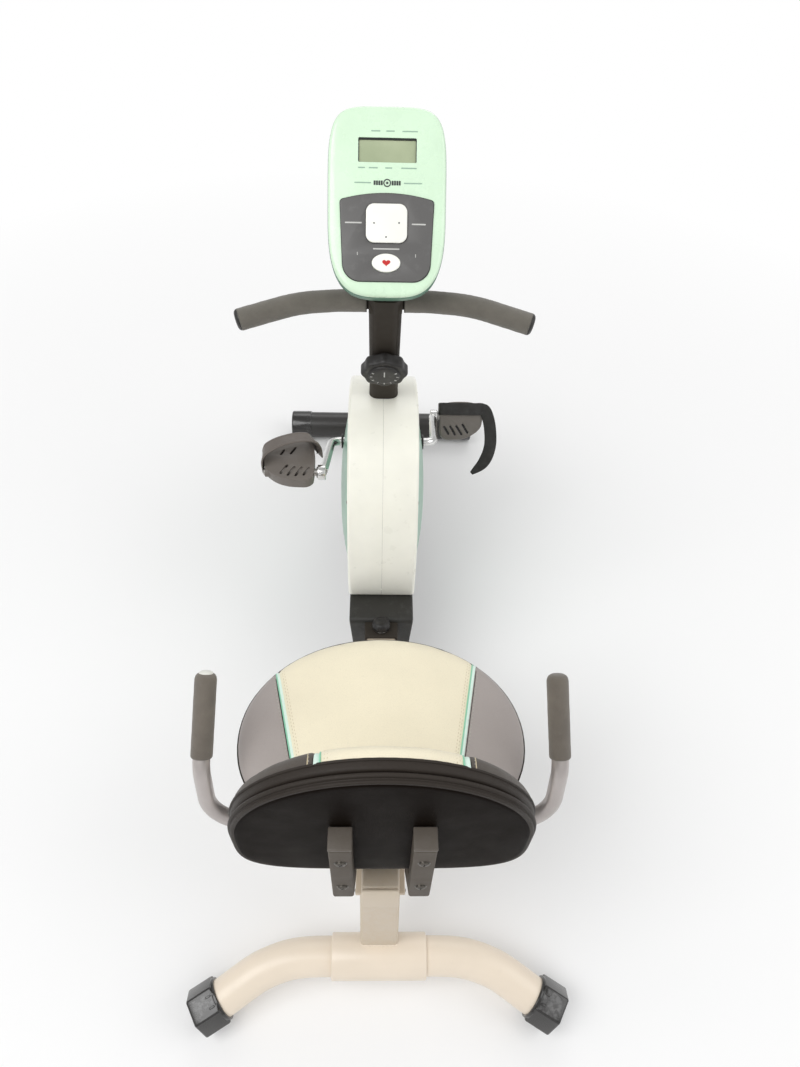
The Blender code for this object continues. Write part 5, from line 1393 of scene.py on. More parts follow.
weld(upright,
     soften(plate("neck", [NECK], 0.044, SIDE_AXES), 0.005, 4, 60),
     rod_x("bar_clamp", 0.0200, BAR_YZ, -0.026, 0.026, 64, 0.0022),
     rod("knob_boss", 0.0230, knob_face - rearward * 0.002, knob_face + rearward * 0.006, 56,
         bevel=0.0012))
cut(upright,
    rod_x("bar_bore", BAR_R + GAP, BAR_YZ, -0.05, 0.05, 56),
    rod("stem_hole", 0.0048, knob_face - rearward * 0.010, knob_face + rearward * 0.02, 32),
    box("clamp_split", (0.06, 0.0012, 0.03), (0, BAR_YZ[0] - 0.0008, BAR_YZ[1] - 0.0240)))
settle(upright, "graphite_paint", "upright", angle=36)
screws("clamp_bolts", [((sign * 0.0130, BAR_YZ[0] - 0.0212, BAR_YZ[1] + 0.010), (0, -1, 0.20), 0.3)
                       for sign in (-1, 1)], 0.0040, 0.0032, 'hex')

# ------------------------------------------------------------------ tension knob
KNOB_AXES = axes(knob_face + rearward * 0.0065, X, rearward.cross(X), rearward)
KNOB_COUNT, KNOB_LOBES, LOBE_DEPTH = 160, 8, 0.0034
# lobed side: (height, inset); round top: (radius, height)
KNOB_SIDE = ((0.0, 0.0022), (0.0004, 0.0012), (0.0014, 0.0004), (0.0030, 0.0), (0.0155, 0.0),
             (0.0178, 0.0005), (0.0192, 0.0016), (0.0199, 0.0032), (0.0200, 0.0050))
KNOB_CROWN = ((0.0300, 0.0196), (0.0284, 0.0194), (0.0270, 0.0198), (0.0266, 0.0215),
              (0.0262, 0.0222), (0.0240, 0.0232), (0.0180, 0.0236), (0.0100, 0.0238),
              (0.0020, 0.0238))


def knob_ring(radius, height, lobe_depth):
    ring = []
    for k in range(KNOB_COUNT):
        angle = 2 * pi * k / KNOB_COUNT
        reach = radius - lobe_depth * (0.5 - 0.5 * cos(KNOB_LOBES * angle)) ** 0.8
        ring.append(KNOB_AXES @ Vector((reach * cos(angle), reach * sin(angle), height)))
    return ring


knob = skin("tension_knob_grip",
            [knob_ring(KNOB_R - inset, height, LOBE_DEPTH) for height, inset in KNOB_SIDE]
            + [knob_ring(radius, height, 0.0) for radius, height in KNOB_CROWN])
weld(knob, rod("stem", 0.0045, knob_face - rearward * 0.012, knob_face + rearward * 0.010, 24))
settle(knob, "knob_plastic", "resistance_knob", body="tension_knob", angle=45)
marks = [box("tick", (0.0040, 0.0010 if k % 2 else 0.0016, 0.0006), (0.0222, 0, 0.02375),
             KNOB_AXES @ Matrix.Rotation(radians(-210 + 240 * k / 8), 4, 'Z'),
             bevel=0.0001, segments=1) for k in range(9)]
marks.append(box("pointer", (0.0150, 0.0020, 0.0012), (0.0080, 0, 0.0241),
                 KNOB_AXES @ Matrix.Rotation(radians(90), 4, 'Z'), bevel=0.0004, segments=2))
settle(join("tension_knob_marks", marks), "print_light", body="tension_knob")

# ------------------------------------------------------------------ handlebar
right_bar = [(0.070, *BAR_YZ), (0.135, 0.1360, 0.8170), (BAR_HALF, 0.110, 0.803)]
bar_line = smooth_path([on_side(p, -1) for p in reversed(right_bar)] + right_bar, 0.25, 10)
settle(round_bar("handlebar_tube", dense(bar_line, 0.02), BAR_R, 40, 0.0008),
       "graphite_paint", "handlebar")


def squeeze(i, angle):
    """Slight unevenness of the foam."""
    x, y = cos(angle), sin(angle)
    return (0.00028 * noise.noise(Vector((i * 0.35, 2.0 * x, 2.0 * y + 7)))
            + 0.00010 * noise.noise(Vector((i * 1.9, 9.0 * x, 9.0 * y))))


BAR_PLUG = [(0.0, 0.0060), (0.0060, 0.0059), (0.0110, 0.0053), (0.0142, 0.0040),
            (0.0158, 0.0022), (FOAM_R - 0.0004, 0.0010), (FOAM_R - 0.0004, 0.0002), (0.0, 0.0002)]
for side, sign in SIDES:
    path = dense([Vector((sign * 0.0290, *BAR_YZ))]
                 + [on_side(p, sign) for p in bar_line if p.x > 0.035], 0.0030)
    settle(round_bar("handlebar_foam_" + side, path, FOAM_R, 56, 0.0022, squeeze),
           "bar_foam", "handlebar_grip_" + side, angle=0)
    settle(turned("handlebar_end_plug_" + side, BAR_PLUG, path[-1],
                  (path[-1] - path[-2]).normalized(), 48),
           "black_plastic", "handlebar_plug_" + side)


# ------------------------------------------------------------------ console
def console_ring(inset, height, count=144):
    outline = superellipse(CONSOLE_W / 2 - inset, CONSOLE_H / 2 - inset, CONSOLE_H / 2 - inset,
                           5.0, 3.4, count * 12, (0, -0.003))
    return [CONSOLE_AXES @ Vector((x, y, height)) for x, y in even(outline, count)]


def console_plate(name, outlines, thick, at):
    return plate(name, outlines, thick, CONSOLE_AXES, at)


# (inset, height): rear face, outer wall, then the inside; and the domed-edge face plate
HOUSING = ((0.0400, -0.0450), (0.0160, -0.0450), (0.0100, -0.0444), (0.0062, -0.0428),
           (0.0034, -0.0402), (0.0014, -0.0366), (0.0004, -0.0325), (0.0, -0.0280),
           (0.0, -0.0125), (0.0003, -0.0112), (0.0010, -0.0106), (0.0030, -0.0105),
           (0.0036, -0.0125), (0.0036, -0.0300), (0.0050, -0.0360), (0.0110, -0.0400),
           (0.0400, -0.0405))
FACE = ((0.0500, -0.0100), (0.0016, -0.0100), (0.0009, -0.0098), (0.0008, -0.0080),
        (0.0009, -0.0052), (0.0016, -0.0034), (0.0030, -0.0018), (0.0052, -0.0008),
        (0.0080, -0.0003), (0.0120, 0.0), (0.0500, 0.0))
LCD_AT, LCD_W, LCD_H = (0.0, 0.0686), 0.0835, 0.0340
PAD_AT, PAD_W, PAD_H = (-0.0003, -0.0336), 0.0595, 0.0545
OVAL_AT = (-0.0004, -0.0888)

settle(skin("console_housing", [console_ring(*row) for row in HOUSING]),
       "console_teal", "console_back", angle=45)
face = skin("console_face_mint", [console_ring(*row) for row in FACE])
cut(face, console_plate("lcd_opening", [rect(LCD_W, LCD_H, 0.0016, LCD_AT, 4)], 0.03, 0.0))
settle(face, "mint_plastic", "console_face", angle=40)
settle(console_plate("lcd_window_glass",
                     [rect(LCD_W - 0.0002, LCD_H - 0.0002, 0.0015, LCD_AT, 4)], 0.0030, -0.0042),
       "lcd_glass", "lcd_window")
settle(console_plate("lcd_gasket", [rect(LCD_W - 0.0001, LCD_H - 0.0001, 0.0016, LCD_AT, 4),
                                    rect(0.0814, 0.0308, 0.0012, (0.0, 0.0674), 4)],
                     0.0014, -0.0021), "shadow_line")


def panel_line(inset=0.0):
    """Arched top edge between small corners, sides that draw in to wide lower corners."""
    top, bottom, low = 0.0673 - inset, 0.0622 - inset, -0.1144 + inset
    arch = []
    for k in range(1, 24):
        x = top - 2 * top * k / 24
        arch.append((x, 0.0083 - inset - 0.0098 * (x / top) ** 2))
    points = [(top, -0.0015 - inset)] + arch + [(-top, -0.0015 - inset), (-bottom, low),
                                                (bottom, low)]
    return even(rounded(points, [0.0055] + [0] * 23 + [0.0055, 0.026, 0.026], 12), 200)


panel = console_plate("keypad_membrane",
                      [panel_line(), rect(PAD_W + 0.0014, PAD_H + 0.0014, 0.0122, PAD_AT),
                       superellipse(0.0211, 0.0136, 0.0136, 2, 2, 64, OVAL_AT)], 0.0020, 0.0012)
settle(soften(panel, 0.0005, 2, 60), "keypad_plastic", "keypad_panel")
settle(console_plate("keypad_edge", [panel_line(-0.0009), panel_line(0.0002)], 0.0012, 0.0005),
       "shadow_line")
pad_key = console_plate("pad_key", [rect(PAD_W, PAD_H, 0.0118, PAD_AT, 12)], 0.0040, 0.0036)
settle(soften(pad_key, 0.0014, 4, 60), "button_white", "button_pad", body="console_button")
DOT = [(0.0, 0.0003), (0.0009, 0.00025), (0.0012, 0.0), (0.0012, -0.0004), (0.0, -0.0004)]
dots = [turned("dot", DOT, CONSOLE_AXES @ Vector((x, y, 0.0057)), CONSOLE_OUT, 16)
        for x, y in ((-0.0183, -0.0339), (0.0176, -0.0332), (-0.0009, -0.0531))]
settle(join("pad_dots", dots), "print_dark", body="console_button")
settle(console_plate("pad_shadow_gap",
                     [rect(PAD_W + 0.0016, PAD_H + 0.0016, 0.0124, PAD_AT),
                      rect(PAD_W - 0.004, PAD_H - 0.004, 0.0100, PAD_AT)], 0.0006, 0.0006),
       "shadow_line")

# (inset, height) of the oval pad
OVAL = ((0.0060, 0.0004), (0.0, 0.0004), (0.0, 0.0036), (0.0004, 0.0041), (0.0012, 0.0044),
        (0.0030, 0.0042), (0.0060, 0.0040))
oval_rings = [[CONSOLE_AXES @ Vector((OVAL_AT[0] + x, OVAL_AT[1] + y, height))
               for x, y in superellipse(0.0206 - inset, 0.0130 - inset, 0.0130 - inset, 2, 2, 72)]
              for inset, height in OVAL]
settle(skin("pulse_sensor_pad", oval_rings), "button_white", "pulse_sensor")
heart = []
for k in range(48):
    angle = 2 * pi * k / 48
    lobes = 13 * cos(angle) - 5 * cos(2 * angle) - 2 * cos(3 * angle) - cos(4 * angle)
    heart.append((0.0058 * sin(angle) ** 3 + OVAL_AT[0] + 0.0002,
                  0.00030 * lobes + OVAL_AT[1] + 0.0002))
settle(console_plate("pulse_heart", [heart], 0.0005, 0.0043), "heart_red")

# a ringed dot between short bars
RING_AT = (0.0, 0.0233)
pace_outlines = [[circle(0.0056, 48, RING_AT), circle(0.0040, 48, RING_AT)],
                 [circle(0.0018, 24, RING_AT)]]
pace_outlines += [[rect(0.0026, 0.0062, 0.0004, (sign * (0.0078 + 0.0034 * k), RING_AT[1]), 2)]
                  for sign in (-1, 1) for k in range(4)]
settle(join("pace_marks", [console_plate("mark", outlines, 0.0005, 0.0002)
                           for outlines in pace_outlines]), "print_dark")
# short printed dashes: (x, y, width) on the face, (x, y, width, height) on the panel
FACE_DASHES = ((-0.0170, 0.0945, 0.0130), (0.0040, 0.0945, 0.0120), (0.0320, 0.0945, 0.0220),
               (-0.0370, 0.0440, 0.0100), (-0.0200, 0.0440, 0.0130), (0.0020, 0.0440, 0.0100),
               (0.0310, 0.0440, 0.0220), (-0.0350, 0.0233, 0.0240), (0.0370, 0.0233, 0.0260))
PANEL_DASHES = ((-0.0480, -0.0330, 0.0240, 0.0020), (0.0460, -0.0340, 0.0200, 0.0020),
                (-0.0004, -0.0690, 0.0380, 0.0018), (-0.0420, -0.0760, 0.0010, 0.0044),
                (0.0420, -0.0780, 0.0010, 0.0044))
settle(join("legend_dashes",
            [console_plate("dash", [rect(width, 0.0016, 0.0006, (x, y), 3)], 0.0004, 0.0001)
             for x, y, width in FACE_DASHES]), "print_grey")
settle(join("panel_dashes",
            [console_plate("dash", [rect(width, height, min(width, height) * 0.35, (x, y), 3)],
                           0.0004, 0.0023) for x, y, width, height in PANEL_DASHES]),
       "print_light")
screws("console_screws", [(CONSOLE_AXES @ Vector((sign * 0.060, y, -CONSOLE_DEPTH)),
                           -CONSOLE_OUT, 0.4) for sign in (-1, 1) for y in (-0.095, 0.085)],
       0.0036, 0.0018)


# ------------------------------------------------------------------ upholstery tools
def pad_body(name, outline, centre, place, top, low, roll, edge, crown, wall=5, inner=24):
    """Closed pad: crowned top, rolled edge, wall and base, mapped into place by `place`."""
    count = len(outline)
    centre_x, centre_y = centre
    mean_radius = sum(hypot(x - centre_x, y - centre_y) for x, y in outline) / count
    roll_share = roll / mean_radius
    rings = []          # (share of the outline, height)
    for k in range(1, inner + 1):
        share = (1 - roll_share) * k / inner
        rings.append((share, top - crown * share ** 3))
    shoulder = top - crown
    for k in range(1, 8):
        angle = pi / 2 * k / 7
        rings.append((1 - roll_share * (1 - sin(angle)),
                      shoulder - (shoulder - edge) * (1 - cos(angle)) * 0.92))
    for k in range(1, wall + 1):
        t = k / wall
        rings.append((1.0 - 0.004 * t * t,
                      (shoulder - (shoulder - edge) * 0.92) * (1 - t) + (low + 0.004) * t))
    rings += [(0.985, low + 0.0012), (0.960, low), (0.85, low), (0.6, low), (0.3, low)]
    verts = [Vector((centre_x, centre_y, top))]
    for share, height in rings:
        verts += [Vector((centre_x + (x - centre_x) * share, centre_y + (y - centre_y) * share,
                          height)) for x, y in outline]
    verts.append(Vector((centre_x, centre_y, low)))
    faces = [(0, 1 + k, 1 + (k + 1) % count) for k in range(count)]
    for i in range(len(rings) - 1):
        here, after = 1 + i * count, 1 + (i + 1) * count
        for k in range(count):
            l = (k + 1) % count
            faces.append((here + k, after + k, after + l, here + l))
    last = len(verts) - 1
    base = last - count
    faces += [(last, base + (k + 1) % count, base + k) for k in range(count)]
    return put(name, [place(v) for v in verts], faces)


def inflate(obj, held):
    """Cloth under pressure: the cover puffs up between the seams that hold it."""
    limit = 0.0055      # the swelling levels off towards this distance
    mesh = obj.data
    rest = [v.co.copy() for v in mesh.vertices]
    group = obj.vertex_groups.new(name="held")
    fixed = [i for i, point in enumerate(rest) if held(point)]
    group.add(fixed, 1.0, 'REPLACE')
    fixed = set(fixed)
    mod = obj.modifiers.new("cloth", 'CLOTH')
    cloth = dict(quality=5, mass=0.25, tension_stiffness=12, compression_stiffness=12,
                 shear_stiffness=4, bending_stiffness=0.4, use_pressure=True,
                 uniform_pressure_force=4.0, vertex_group_mass="held", pin_stiffness=1.0)
    for key, value in cloth.items():
        setattr(mod.settings, key, value)
    mod.settings.effector_weights.gravity = 0.0
    mod.collision_settings.use_collision = False
    mod.collision_settings.use_self_collision = False
    mod.point_cache.frame_start = 1
    mod.point_cache.frame_end = 20
    scene.frame_start, scene.frame_end = 1, 20
    for frame in range(1, 21):
        scene.frame_set(frame)
    result = obj.evaluated_get(bpy.context.evaluated_depsgraph_get()).to_mesh()
    moved = [v.co.copy() for v in result.vertices]
    obj.modifiers.remove(mod)
    for i, vertex in enumerate(mesh.vertices):
        shift = moved[i] - rest[i]
        length = shift.length
        if i not in fixed and 0 < length < 1:
            vertex.co = rest[i] + shift * (limit * tanh(length / limit) / length)
    obj.vertex_groups.clear()
    scene.frame_set(1)
    # level out the sharp steps that the limit leaves
    edit = bmesh.new()
    edit.from_mesh(mesh)
    edit.verts.ensure_lookup_table()
    loose = [edit.verts[i] for i in range(len(rest)) if i not in fixed]
    for _ in range(3):
        bmesh.ops.smooth_vert(edit, verts=loose, factor=0.4, use_axis_x=True, use_axis_y=True,
                              use_axis_z=True)
    edit.to_mesh(mesh)
    edit.free()


def let_in_seams(obj, planes, tuck):
    """One subdivision, then seams let in along the planes with small puckers beside them."""
    mod = obj.modifiers.new("subdivide", 'SUBSURF')
    mod.levels = mod.render_levels = 1
    mesh = evaluated_mesh(obj)
    obj.modifiers.clear()
    obj.data = mesh
    seam_depth, seam_width = 0.0030, 0.0042
    pucker_depth, pucker_width = 0.0008, 0.020
    edit = bmesh.new()
    edit.from_mesh(mesh)
    for origin, normal in planes:
        for offset in (-seam_width, 0.0, seam_width):
            bmesh.ops.bisect_plane(edit, geom=edit.verts[:] + edit.edges[:] + edit.faces[:],
                                   dist=0.00002, plane_co=origin + normal * offset,
                                   plane_no=normal)
    edit.normal_update()
    shifts = []
    for vertex in edit.verts:
        place = vertex.co
        shift = 0.0
        share = tuck(place)
        if share > 0:
            for origin, normal in planes:
                away = (place - origin).dot(normal)
                ripple = noise.noise(Vector((away * 12, place.y * 95 + place.z * 30, place.x * 8)))
                shift -= seam_depth * exp(-(away / seam_width) ** 2) * share
                shift -= (pucker_depth * exp(-(away / pucker_width) ** 2) * share
                          * max(0.0, ripple))
        shift += 0.00035 * noise.noise(place * 26) + 0.00016 * noise.noise(place * 75)
        shifts.append(shift)
    for vertex, shift in zip(edit.verts, shifts):
        vertex.co += vertex.normal * shift
    edit.normal_update()
    edit.to_mesh(mesh)
    edit.free()


def upholster(pad, axis, turn, base, turn_hold, planes, materials, replaces):
    """Inflates and seams a pad whose top faces +axis, then gives it its three covers.

    Held fast are the part below `base`, a strip `turn_hold` each side of the turn from top to
    wall, and the seams. The covers are: between the seams, beyond them, and the wall.
    """
    seam_hold = 0.0036

    def held(point):
        height = point[axis]
        return (height < base or abs(height - turn) < turn_hold
                or (height > turn and any(abs((point - origin).dot(normal)) < seam_hold
                                          for origin, normal in planes)))
    inflate(pad, held)
    let_in_seams(pad, planes, lambda point: clamp01((point[axis] - turn) / 0.006))
    for name in materials:
        pad.data.materials.append(MATERIALS[name].data)
    for face in pad.data.polygons:
        beyond = max((face.center - origin).dot(normal) for origin, normal in planes)
        wall = face.center[axis] < turn - 0.0006
        face.material_index = 2 if wall else int(beyond > 0)
    settle(pad, materials, replaces, body="seat", angle=0)


def crossing(mesh, origin, normal, across, up):
    """Where the mesh crosses a plane, as a closed loop sorted by angle about its middle."""
    places = np.empty(len(mesh.vertices) * 3)
    mesh.vertices.foreach_get("co", places)
    places = places.reshape(-1, 3)
    ends = np.empty(len(mesh.edges) * 2, dtype=np.int64)
    mesh.edges.foreach_get("vertices", ends)
    ends = ends.reshape(-1, 2)
    away = (places - np.array(origin)) @ np.array(normal)
    first, second = away[ends[:, 0]], away[ends[:, 1]]
    hit = (first * second) < 0
    ends, first, second = ends[hit], first[hit], second[hit]
    share = (first / (first - second))[:, None]
    points = places[ends[:, 0]] * (1 - share) + places[ends[:, 1]] * share
    middle = (points.max(axis=0) + points.min(axis=0)) / 2
    angles = np.arctan2((points - middle) @ np.array(up), (points - middle) @ np.array(across))
    out = []
    for i in np.argsort(angles):
        point = Vector(points[i])
        if not out or (point - out[-1]).length > 0.0008:
            out.append(point)
    return out


def seam_loop(mesh, origin, normal):
    across = normal.cross(Vector((0, 0, 1))).normalized()
    return crossing(mesh, origin, normal, across, normal.cross(across))


def level_ring(mesh, height, axis):
    """Ring round the pad where its Y (axis 1) or Z (axis 2) equals height."""
    unit = np.eye(3)
    loop = crossing(mesh, unit[axis] * height, unit[axis], unit[0], unit[3 - axis])
    return even_path(loop + [loop[0]], 0.004)[:-1]


def open_run(loop, keep):
    """The longest run of the loop that keep() accepts."""
    count = len(loop)
    flags = [keep(point) for point in loop]
    if all(flags):
        return loop + [loop[0]]
    start = next(i for i in range(count) if flags[i] and not flags[i - 1])
    best, run = [], []
    for k in range(count):
        i = (start + k) % count
        if flags[i]:
            run.append(loop[i])
        else:
            best = max(best, run, key=len)
            run = []
    return max(best, run, key=len)


def even_path(path, step):
    """Resampled to a constant step, then eased."""
    total = sum((after - here).length for here, after in zip(path, path[1:]))
    count = max(4, int(total / step))
    out, i, travel = [path[0]], 0, 0.0
    for k in range(1, count):
        want = total * k / count
        while i < len(path) - 2 and travel + (path[i + 1] - path[i]).length < want:
            travel += (path[i + 1] - path[i]).length
            i += 1
        span = (path[i + 1] - path[i]).length
        out.append(path[i].lerp(path[i + 1], clamp01((want - travel) / max(span, 1e-9))))
    out.append(path[-1])
    for _ in range(2):
        eased = [(before + here * 2 + after) / 4
                 for before, here, after in zip(out, out[1:], out[2:])]
        out = [out[0]] + eased + [out[-1]]
    return out


def outward_from(path, middle):
    """Direction away from `middle` at the start of a path, square to it."""
    tangent = (path[1] - path[0]).normalized()
    away = path[0] - middle
    return (away - tangent * away.dot(tangent)).normalized()


def piping(name, path, middle, half, high, sink, steps, material):
    """Soft raised strip: a low rounded section laid along a seam."""
    def section(i, share):
        wobble = 1 + 0.03 * sin(i * 0.9) + 0.03 * sin(i * 0.37 + 1)
        points = [(half * cos(pi * k / steps),
                   -sink + (high + sink) * wobble * sin(pi * k / steps) ** 0.8)
                  for k in range(steps + 1)]
        return points + [(-half * 0.9, -sink - 0.0012), (half * 0.9, -sink - 0.0012)]
    settle(sweep(name, path, section, outward_from(path, middle)), material, body="seat",
           angle=60)


def stitches(name, paths, middle, material):
    """Rows of short threads, each four stations of a five-station pitch."""
    pitch, thread_r, lift = 0.0032 + 0.0014, 0.00042, 0.0002
    verts, faces = [], []
    for path in paths:
        points = even_path(path, pitch / 4)
        stations = along(points, outward_from(points, middle))
        for i in range(2, len(stations) - 3, 5):
            base = len(verts)
            # (width share, height) along one thread: both ends dip into the cover
            for k, (wide, high) in enumerate(((0.35, -0.0005), (1.0, 0.0), (1.0, 0.0),
                                              (0.35, -0.0005))):
                point, tangent, normal, side = stations[i + k]
                verts += round_ring(point + normal * (lift + high), side, normal,
                                    thread_r * wide, 6)
            for row in (base, base + 6, base + 12):
                for k in range(6):
                    l = (k + 1) % 6
                    faces.append((row + k, row + l, row + 6 + l, row + 6 + k))
            faces.append(tuple(base + k for k in range(6)))
            faces.append(tuple(base + 18 + k for k in reversed(range(6))))
    settle(put(name, verts, faces), material, body="seat", angle=0)


def trim_seams(prefix, mesh, planes, axis, turn, middle, piping_half, light, grey, lines):
    """Piping, raised lines and stitch rows along every seam of a pad.

    Distances count outward from the seam plane. light, grey: distances of the stitch rows.
    lines: (label, distance at each seam, half width, height, sink, steps, material).
    """
    light_rows, grey_rows = [], []
    below = Vector()
    below[axis] = 0.05
    for k, (origin, normal) in enumerate(planes):
        def run(away, margin):
            loop = seam_loop(mesh, origin + normal * away, normal)
            return even_path(open_run(loop, lambda point: point[axis] > turn + margin), 0.004)
        seam = run(0.0, -0.001)
        centre = sum(seam, Vector()) / len(seam) - below
        piping("%s_piping_%d" % (prefix, k), seam, centre, piping_half, 0.0016, 0.0, 7,
               "vinyl_mint")
        light_rows += [run(away, 0.001) for away in light]
        grey_rows.append(run(grey, 0.001))
        for label, away, *section in lines:
            piping("%s_%s_%d" % (prefix, label, k), run(away[k], 0.0), centre, *section)
    stitches(prefix + "_stitches_light", light_rows, middle, "thread_cream")
    stitches(prefix + "_stitches_grey", grey_rows, middle, "thread_grey")


def cord(name, loop, radius, material, seed):
    """Closed cord laid round a pad."""
    count = len(loop)
    middle = sum(loop, Vector()) / count
    rings = []
    for i, point in enumerate(loop):
        tangent = (loop[(i + 1) % count] - loop[i - 1]).normalized()
        away = point - middle
        normal = (away - tangent * away.dot(tangent)).normalized()
        thick = radius * (1 + 0.04 * sin(i * 1.7 + seed) + 0.05 * noise.noise(point * 90))
        rings.append(round_ring(point, normal, tangent.cross(normal), thick))
    settle(skin(name, rings, caps=False, cyclic=True), material, body="seat", angle=0)


# ------------------------------------------------------------------ seat
SEAT_TURN = 0.4400      # height of the welt between top cover and wall
# seams seen from above: (x, y) of the front end, (x, y) of the rear end
SEAT_SEAMS = (((-0.162, -0.304), (-0.127, -0.454)), ((0.143, -0.299), (0.118, -0.438)))
seat_outline = even(superellipse(SEAT_A - 0.0006, SEAT_B + 0.0110, SEAT_B - 0.0012, 2.0, 2.15,
                                 1200, SEAT_XY), 200)
seat = pad_body("seat_cushion_cover", seat_outline, SEAT_XY, lambda v: v, top=0.4596,
                low=SEAT_LOW + 0.0006, roll=0.020, edge=SEAT_TURN, crown=0.0022)
seat_planes = []
for (x0, y0), (x1, y1) in SEAT_SEAMS:
    way = Vector((x1 - x0, y1 - y0, 0)).normalized()
    outward = Vector((way.y, -way.x, 0))
    if outward.x * (x0 + x1) < 0:
        outward = -outward
    seat_planes.append((Vector((x0, y0, 0)), outward))
upholster(seat, 2, SEAT_TURN, 0.4005, 0.0022, seat_planes,
          ["vinyl_cream", "vinyl_grey", "vinyl_dark"], "seat_cushion")
# the dark line beside each piping is painted shadow
trim_seams("seat", seat.data, seat_planes, 2, SEAT_TURN, Vector((0, SEAT_XY[1], 0.425)),
           piping_half=0.0036, light=(-0.0070, -0.0102), grey=0.0072,
           lines=(("seam_line", (0.0044, 0.0044), 0.0007, 0.0004, 0.0002, 4, "vinyl_dark"),
                  ("mint_line", (0.0026, -0.0026), 0.0010, 0.0021, 0.0, 5, "vinyl_mint_line")))
cord("seat_welt_top", level_ring(seat.data, SEAT_TURN, 2), 0.0019, "vinyl_dark", 1)
cord("seat_welt_base", level_ring(seat.data, 0.4022, 2), 0.0015, "vinyl_brown_black", 2)
from_cad("seat_board", "seat_base_board", "base_board", "seat", 0.0012)
from_cad("seat_carriage", "seat_carriage_weldment", "graphite_paint", "seat")
screws("seat_board_screws",
       [((across * 0.105, SEAT_XY[1] + forward * 0.085, 0.3848), (0, 0, -1), 0.4 * k)
        for k, (across, forward) in enumerate(CORNERS)], 0.0060, 0.0028, body="seat")

# ------------------------------------------------------------------ backrest
PAD_BACK, PAD_FRONT = BACK_REAR + 0.0153, BACK_REAR + 0.0563
BACK_TURN = -0.5870     # y of the welt between front cover and wall
DEPTH_ZERO = 1.0        # pad heights are y plus this


def back_outline(inset, count=200):
    return even(superellipse(BACK_W / 2 - inset, BACK_UP - inset, BACK_DOWN - inset, 2.0, 4.0,
                             count * 6, (0, BACK_MID)), count)


back = pad_body("backrest_cushion_cover", back_outline(0.0012), (0.0, BACK_MID + 0.020),
                lambda v: Vector((-v.x, v.z - DEPTH_ZERO, v.y)),
                top=DEPTH_ZERO + PAD_FRONT - 0.0040, low=DEPTH_ZERO + PAD_BACK + 0.0002,
                roll=0.017, edge=DEPTH_ZERO + BACK_TURN, crown=0.0030)
back_planes = [(Vector((x, 0, 0.760)), Vector((sign, 0, 0.06)).normalized())
               for x, sign in ((-0.0704, -1), (0.0877, 1))]
upholster(back, 1, BACK_TURN, PAD_BACK + 0.0050, 0.0020, back_planes,
          ["vinyl_cream", "vinyl_charcoal", "vinyl_dark"], "backrest_cushion")
# the dark line beside each piping is painted shadow
trim_seams("backrest", back.data, back_planes, 1, BACK_TURN,
           Vector((0, -0.5800, BACK_MID + 0.02)),
           piping_half=0.0040, light=(-0.0075, -0.0107), grey=0.0088,
           lines=(("seam_line", (0.0048, 0.0048), 0.0007, 0.0004, 0.0002, 4, "vinyl_dark"),
                  ("pale_line", (0.0100, 0.0100), 0.0009, 0.0007, 0.0002, 5, "thread_cream"),
                  ("mint_line", (-0.0030, -0.0030), 0.0010, 0.0021, 0.0, 5, "vinyl_mint_line")))
cord("backrest_welt_front", level_ring(back.data, BACK_TURN, 1), 0.0018, "vinyl_dark", 3)


def back_ring(inset, y, wave=0.0):
    return [Vector((x, y + wave * noise.noise(Vector((x * 30, z * 30, 4))), z))
            for x, z in back_outline(inset)]


def roll_arc(inset, y, radius, first, last, steps=7):
    """(inset, y) points of a rolled edge, angles in degrees."""
    angles = [radians(first + (last - first) * k / steps) for k in range(steps + 1)]
    return [(inset + radius - radius * cos(a), y - radius * sin(a)) for a in angles]


# (inset, y) of the rim behind the cushion, two rolls deep
SHELL = ([(0.0400, PAD_BACK - 0.0003), (0.0040, PAD_BACK - 0.0003)]
         + roll_arc(0.0004, -0.6034, 0.0027, -70, 100) + [(0.0040, -0.6062)]
         + roll_arc(0.0038, -0.6092, 0.0025, -40, 130) + [(0.0100, -0.6118)])
# (inset, y) of the rear panel
REAR_PANEL = [(0.0075, -0.6085), (0.0086, -0.6112), (0.0100, -0.6124), (0.0130, -0.6130),
              (0.0200, -0.6134), (0.0320, -0.6137), (0.0450, -0.6140), (0.0600, -0.6142),
              (0.0800, -0.6144), (0.1000, -0.6145), (0.1120, -0.6145)]
settle(skin("backrest_shell_rim", [back_ring(*row) for row in SHELL]),
       "vinyl_dark", "backrest_board", body="seat", angle=0)
settle(skin("backrest_rear_panel", [back_ring(inset, y, 0.0005 if 0.02 < inset < 0.09 else 0.0)
                                    for inset, y in REAR_PANEL]),
       "vinyl_brown_black", body="seat", angle=0)

